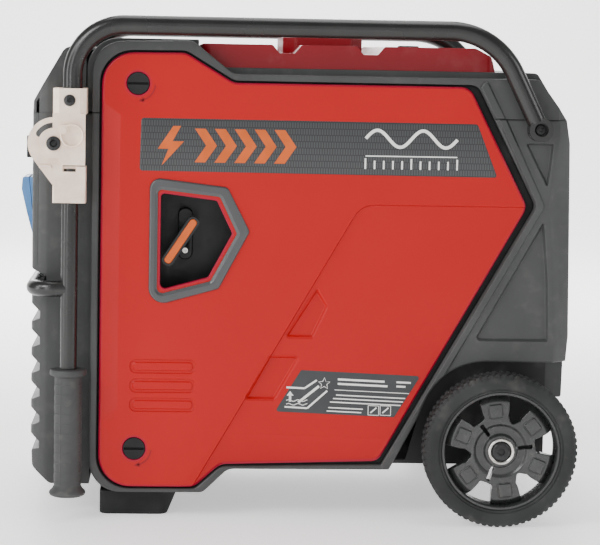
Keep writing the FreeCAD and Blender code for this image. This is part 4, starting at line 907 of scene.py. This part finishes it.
class LabelsOperator(bpy.types.Operator):
    """Plain printed strips: a grey band with a spark sign and a sine wave, and an oil-check picture"""
    bl_idname = "generator.labels"
    bl_label = "Printed strips"

    def execute(self, context):
        white, orange = FINISHES["white"].material, FINISHES["orange"].material
        for stem, side in (("near", -1), ("far", 1)):
            body = "door_" + stem
            strip = rounded([(-208, 529, 4), (-209.5, 460, 4), (261, 458, 3), (233, 528, 5)])
            plate("label_strip_" + stem, strip, [], band(strip, (0.15,)), DOOR_FACE, lambda plan: 0.25 - 0.15 * ease(
                1.0 - inside(strip, plan) / 0.15), DOOR_FACE - 0.3, side, body,
                FINISHES["film"].material)
            spark = np.array([(-166, 519), (-186, 489), (-172, 489), (-181, 467),
                              (-152, 499), (-167, 499), (-156, 519)], float)
            chevrons = [np.array([(x, 516), (x + 14, 516), (x + 29, 494),
                                  (x + 14, 472), (x, 472), (x + 15, 494)], float)
                        for x in (-138.0, -112.0, -86.0, -60.0, -34.0)]
            marks("label_orange_" + stem, [spark, *chevrons], DOOR_FACE + 0.25, 0.12, side, body, orange)
            turn = np.linspace(0.0, 4.0 * math.pi, 49)
            wave = ribbon(np.stack([86 + 9.6 * turn, 507 + 11.0 * np.sin(turn)], 1), 4.2)
            rule = [bar(86, 484, 207, 484, 1.4)]
            ticks = [bar(86 + 12.1 * k, 467, 86 + 12.1 * k, 478 if k % 5 else 481, 2.2) for k in range(11)]
            marks("label_white_" + stem, [wave, *rule, *ticks], DOOR_FACE + 0.25, 0.12, side, body,
                  white)
        note = rounded([(6.8, 199.3, 3), (165.8, 193, 3), (131.7, 137.4, 3), (-26.8, 143.5, 3)])
        low = DOOR_FACE - context.scene.generator_sizes.crease_step
        plate("oil_note", note, [], band(note, (0.15,)), low, lambda plan: np.full(len(plan), 0.25), low - 0.3, -1,
              "door_near", FINISHES["note"].material)
        shapes = [bar(-14, 150, 16, 148.4, 2.2), bar(16, 148.4, 42, 172, 2.4), bar(-12, 176, 12, 175, 2.4),
                  bar(12, 175, 28, 186, 2.4), bar(4, 156, 31, 178, 3.2), bar(-7, 157, -7, 166, 3.0)]
        shapes += [np.array([(-11.5, 165), (-2.5, 165), (-7, 171)], float)]
        shapes += [ribbon(np.stack([np.linspace(-12, 16, 25), z + 1.1 * np.sin(np.linspace(0, 14, 25))], 1), 0.9)
                   for z in (153.5, 158.5)]
        star = np.array([(38 + r * math.cos(a), 181.5 + r * math.sin(a)) for r, a in
                         [((8.0, 3.6)[k % 2], math.pi * k / 5 + 0.3) for k in range(10)]])
        shapes.append(ribbon(np.concatenate([star, star[:2]]), 0.9))
        rows = [(56, 187.5, 118, 2.6), (56, 181.5, 122, 2.6), (54, 166.5, 146, 1.5), (50, 161.8, 143, 1.5),
                (46, 157.1, 140, 1.5), (44, 149.6, 90, 1.5), (42, 145.0, 88, 1.5)]
        shapes += [bar(x0, z, x1, z - (x1 - x0) * 0.04, w) for x0, z, x1, w in rows]
        shapes += [bar(52, 173.4, 151, 169.4, 0.9), bar(134, 184.5, 153, 183.8, 2.4), bar(134, 178.9, 146, 178.4, 2.4)]
        for x in (97.0, 113.0):
            frame_line = np.array([(x, 140.2), (x + 14, 139.7), (x + 14, 152.4), (x, 152.9)])
            shapes += [bar(*frame_line[k], *frame_line[(k + 1) % 4], 0.8) for k in range(4)]
            shapes += [bar(x + 3, 143, x + 11, 150, 1.8)]
        marks("oil_note_print", shapes, low + 0.25, 0.12, -1, "door_near", white)
        arrow_turn = np.radians(np.linspace(-5.0, -78.0, 16))
        for stem, side, heights in (("near", -1, LATCH_HEIGHTS), ("far", 1, LATCH_HEIGHTS[:1])):
            shapes = []
            for z in heights:
                arc = np.stack([LATCH_X + 22.5 * np.cos(arrow_turn), z + 22.5 * np.sin(arrow_turn)], 1)
                tip, way = arc[-1], math.radians(-168.0)
                head = [tip + 4.6 * np.array([math.cos(way + a), math.sin(way + a)]) for a in (0.0, 2.3, -2.3)]
                shapes += [ribbon(arc, 1.8), np.array(head)]
            marks("latch_arrows_" + stem, shapes, DOOR_FACE, 0.5, side, "door_" + stem,
                  FINISHES["cover_red"].material)
        return {"FINISHED"}


class StarterOperator(bpy.types.Operator):
    """Orange insert, cup boss with its screw, and the braided starter rope"""
    bl_idname = "generator.starter"
    bl_label = "Recoil starter"

    def execute(self, context):
        x, z = PULL_MIDDLE[0], PULL_MIDDLE[2]
        turn = math.radians(57.0)
        way = np.array([math.cos(turn), math.sin(turn)])
        across = np.array([-way[1], way[0]])
        corners = [(*(np.array([x, z]) + a * 34.2 * way + b * 5.6 * across), 5.2)
                   for a, b in ((-1, -1), (1, -1), (1, 1), (-1, 1))]
        insert = rounded(corners)
        plate("starter_insert", insert, [], band(insert, (0.1, 0.4, 0.9, 1.6)), 212.6,
              lambda plan: -fillet(inside(insert, plan), 1.6), 210.9, -1, "starter_handle",
              FINISHES["orange"].material)
        boss = rounded([(-158.5, 340, 9.8), (-138.5, 340, 9.8), (-138.5, 409, 9.8), (-158.5, 409, 9.8)])
        neck, screw = oval(x, z, 6.6), oval(-148.5, 352.0, 2.6, 20)
        plate("cup_boss", boss, [neck, screw], band(boss, (0.12, 0.5, 1.1, 2.0)) + band(neck, (-0.5,)), 168.0,
              lambda plan: -fillet(inside(boss, plan), 2.0) - fillet(-inside(neck, plan), 1.0), 150.8, -1, "body",
              FINISHES["fitting"].material)
        head = [(0.0, -166.6), (1.2, -166.8), (1.6, -168.4), (3.6, -168.4), (4.4, -167.6), (4.4, -166.0), (0.0, -166.0)]
        lathe("cup_screw", (-148.5, 0, 352.0), "Y", head[::-1], 24, "body", FINISHES["steel"].material)

        rope_low, rope_high = (np.array(c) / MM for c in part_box("starter_rope"))
        along = np.linspace(rope_low[1], rope_high[1], 260)
        around = np.arange(16) * 2.0 * math.pi / 16
        radius = 1.55 + 0.2 * np.abs(np.sin(2.0 * (around[None] + along[:, None] * 0.9)))
        points = np.stack([x + radius * np.cos(around), np.repeat(along[:, None], 16, 1),
                           ROPE_Z + radius * np.sin(around)], -1).reshape(-1, 3)
        faces = grid_faces(len(along), 16)[:, ::-1].tolist()
        faces += [list(range(16)), [len(points) - 1 - k for k in range(16)]]
        mesh = bpy.data.meshes.new("starter_rope_braid")
        mesh.from_pydata((points * MM).tolist(), [], faces)
        mesh.polygons.foreach_set("use_smooth", np.ones(len(mesh.polygons), bool))
        mesh.materials.append(FINISHES["rope"].material)
        rope = bpy.data.objects.new("starter_rope_braid", mesh)
        context.scene.collection.objects.link(rope)
        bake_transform(rope)
        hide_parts("starter_rope")
        return {"FINISHED"}


class TopOperator(bpy.types.Operator):
    """Fluted fuel cap with its grab bar, and the round fuel gauge beside it"""
    bl_idname = "generator.top"
    bl_label = "Tank top"

    def execute(self, context):
        flutes = context.scene.generator_sizes.cap_flutes
        low, top = CAP_MIDDLE[2] - CAP_HALF[2], CAP_MIDDLE[2] + CAP_HALF[2]
        profile = [(0.0, low), (24.0, low), (24.0, 637.6), (37.0, 637.6), (38.6, 638.4), (39.6, 640.0)]
        profile += [(40.0, z) for z in np.linspace(641.0, 650.0, 8)]
        profile += [(39.4, 652.4), (37.6, 654.4), (34.0, 655.4), (28.0, 655.8), (12.0, 656.4), (0.0, 656.6)]

        def fluted(ring, along, turn):
            """Flutes: a raised cosine scoops the skirt; the crown is left plain."""
            skirt = ease((ring - 36.5) / 3.0) * ease((654.6 - along) / 2.0)
            return ring - 1.5 * skirt * np.clip(np.cos(turn * flutes) * 1.6, 0.0, 1.0), along

        black = FINISHES["fitting"].material
        lathe("fuel_cap_fluted", (CAP_MIDDLE[0], CAP_MIDDLE[1], 0.0), "Z", profile, flutes * 8, "fuel_cap",
              black, ("fuel_cap",), fluted)
        u, v = np.meshgrid(np.linspace(-1, 1, 41), np.linspace(-1, 1, 17), indexing="ij")
        x, y = CAP_MIDDLE[0] + 33.0 * u, CAP_MIDDLE[1] + 7.5 * v
        round_off = np.sqrt(np.clip(1.0 - np.abs(v) ** 3.0, 0, 1)) * np.sqrt(np.clip(1.0 - np.abs(u) ** 8.0, 0, 1))
        z = 654.0 + (top - 654.0) * round_off
        crown = np.stack([x, y, z], -1).reshape(-1, 3)
        base = np.stack([x, y, np.full_like(z, 653.8)], -1).reshape(-1, 3)
        upper = grid_faces(41, 17, close_columns=False)
        edge = np.concatenate([np.arange(17), np.arange(1, 41) * 17 + 16, 40 * 17 + np.arange(15, -1, -1),
                               np.arange(39, 0, -1) * 17])
        after = np.roll(edge, -1)
        skirt = np.stack([edge, after, after + len(crown), edge + len(crown)], 1)
        new_piece("fuel_cap_bar", np.concatenate([crown, base]), np.concatenate(
            [upper[:, ::-1], upper + len(crown), skirt]), "fuel_cap", black)
        gauge = [(0.0, 611.0), (15.0, 611.0), (15.0, 628.2), (14.2, 629.2), (12.6, 629.4), (11.8, 628.6), (11.6, 627.8),
                 (0.0, 627.6)]
        lathe("fuel_gauge_ring", (160.0, 0.0, 0.0), "Z", gauge, 48, "body", black)
        face = [(0.0, 627.5), (11.5, 627.6), (11.5, 628.2), (6.0, 628.9), (0.0, 629.1)]
        lathe("fuel_gauge_glass", (160.0, 0.0, 0.0), "Z", face, 40, "body", FINISHES["glass"].material)
        return {"FINISHED"}


class ControlsOperator(bpy.types.Operator):
    """Display glass, signs and screws of the control panel"""
    bl_idname = "generator.controls"
    bl_label = "Control panel details"

    def execute(self, context):
        face = -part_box("control_panel")[0].x / MM

        def upright(name, shapes, out, thick, material):
            """Thin shapes drawn over (y, z) on the panel's face, which looks along -X."""
            points, faces, start = [], [], 0
            for line in shapes:
                u, v = line.T
                if np.sum(u * np.roll(v, -1) - v * np.roll(u, -1)) > 0:
                    line = line[::-1]
                n = len(line)
                for reach in (out + thick, out - 0.4):
                    points.append(np.stack([np.full(n, -reach), line[:, 0], line[:, 1]], 1))
                i = np.arange(n)
                j = (i + 1) % n
                faces += (i[None] + start).tolist() + (i[None, ::-1] + n + start).tolist()
                faces += (np.stack([j, i, i + n, j + n], 1) + start).tolist()
                start += 2 * n
            return new_piece(name, np.concatenate(points), faces, "body", material, smooth=False)

        white, glass = FINISHES["white"].material, FINISHES["glass"].material
        upright("display_window", [rounded([(-22, 470, 2), (42, 470, 2), (42, 500, 2), (-22, 500, 2)])],
                face - 0.9, 0.5, glass)
        digits = []
        for k, y in enumerate((-13.0, -1.0, 11.0, 23.0)):
            for bars in ((0, 1, 2, 3, 4, 5), (1, 2), (0, 1, 3, 4, 6), (0, 1, 2, 3, 6))[k:k + 1]:
                cells = [bar(y, 493, y + 7, 493, 1.2), bar(y, 486, y, 493, 1.2), bar(y, 478, y, 485, 1.2),
                         bar(y, 478, y + 7, 478, 1.2), bar(y + 7, 478, y + 7, 485, 1.2),
                         bar(y + 7, 486, y + 7, 493, 1.2),
                         bar(y, 485.5, y + 7, 485.5, 1.2)]
                digits += [cells[b] for b in bars]
        upright("display_segments", digits, face - 0.4, 0.1, FINISHES["orange"].material)
        signs = [ribbon(np.stack([-62 + 24 * np.linspace(-0.5, 0.5, 25),
                                  455 + 3.2 * np.sin(np.linspace(-math.pi, math.pi, 25))], 1), 1.2)]
        signs += [bar(y - 18, 424, y + 18, 424, 1.0) for y in (25.0, 95.0)]
        signs += [oval(y, 508, 2.4, 16) for y in (-95.0, -50.0, 70.0, 118.0)]
        signs += [bar(-113, 463, -77, 463, 1.0), bar(60, 463, 126, 463, 1.0)]
        upright("panel_signs", signs, face, 0.12, white)
        head = [(0.0, -0.3), (2.0, -0.3), (2.3, 1.0), (3.6, 1.4), (4.6, 0.8), (4.9, 0.0), (4.9, -1.0), (0.0, -1.0)]
        for k, (y, z) in enumerate(((-135, 350), (135, 350), (-135, 507), (135, 507))):
            lathe("panel_screw_%d" % (k + 1), (0.0, y, z), "X", [(r, -face - a) for r, a in head], 20, "body",
                  FINISHES["screw"].material)
        return {"FINISHED"}


class GeneratorPanel(bpy.types.Panel):
    """Lists the generator's pieces in the sidebar"""
    bl_idname = "VIEW3D_PT_generator"
    bl_label = "Inverter generator"
    bl_space_type = "VIEW_3D"
    bl_region_type = "UI"
    bl_category = "Generator"

    def draw(self, context):
        for group in (context.scene.generator_sizes, context.scene.generator_colours):
            for name in group.bl_rna.properties.keys():
                if name not in ("rna_type", "name"):
                    self.layout.prop(group, name)
        for operator in OPERATORS:
            self.layout.operator(operator.bl_idname)


OPERATORS = [FittingsOperator, DoorsOperator, SideShellsOperator, WheelsOperator, GripsOperator, LabelsOperator,
             StarterOperator, TopOperator, ControlsOperator, StageOperator]
CLASSES = [GeneratorSizes, GeneratorColours, *OPERATORS, GeneratorPanel]


def register():
    for made in CLASSES:
        bpy.utils.register_class(made)
    bpy.types.Scene.generator_sizes = bpy.props.PointerProperty(type=GeneratorSizes)
    bpy.types.Scene.generator_colours = bpy.props.PointerProperty(type=GeneratorColours)


def unregister():
    del bpy.types.Scene.generator_colours, bpy.types.Scene.generator_sizes
    for made in reversed(CLASSES):
        bpy.utils.unregister_class(made)


def main():
    register()
    bpy.ops.generator.fittings()
    bpy.ops.generator.doors()
    bpy.ops.generator.side_shells()
    bpy.ops.generator.wheels()
    bpy.ops.generator.grips()
    bpy.ops.generator.labels()
    bpy.ops.generator.starter()
    bpy.ops.generator.top()
    bpy.ops.generator.controls()
    bpy.ops.generator.stage()


if __name__ == "__main__":
    main()
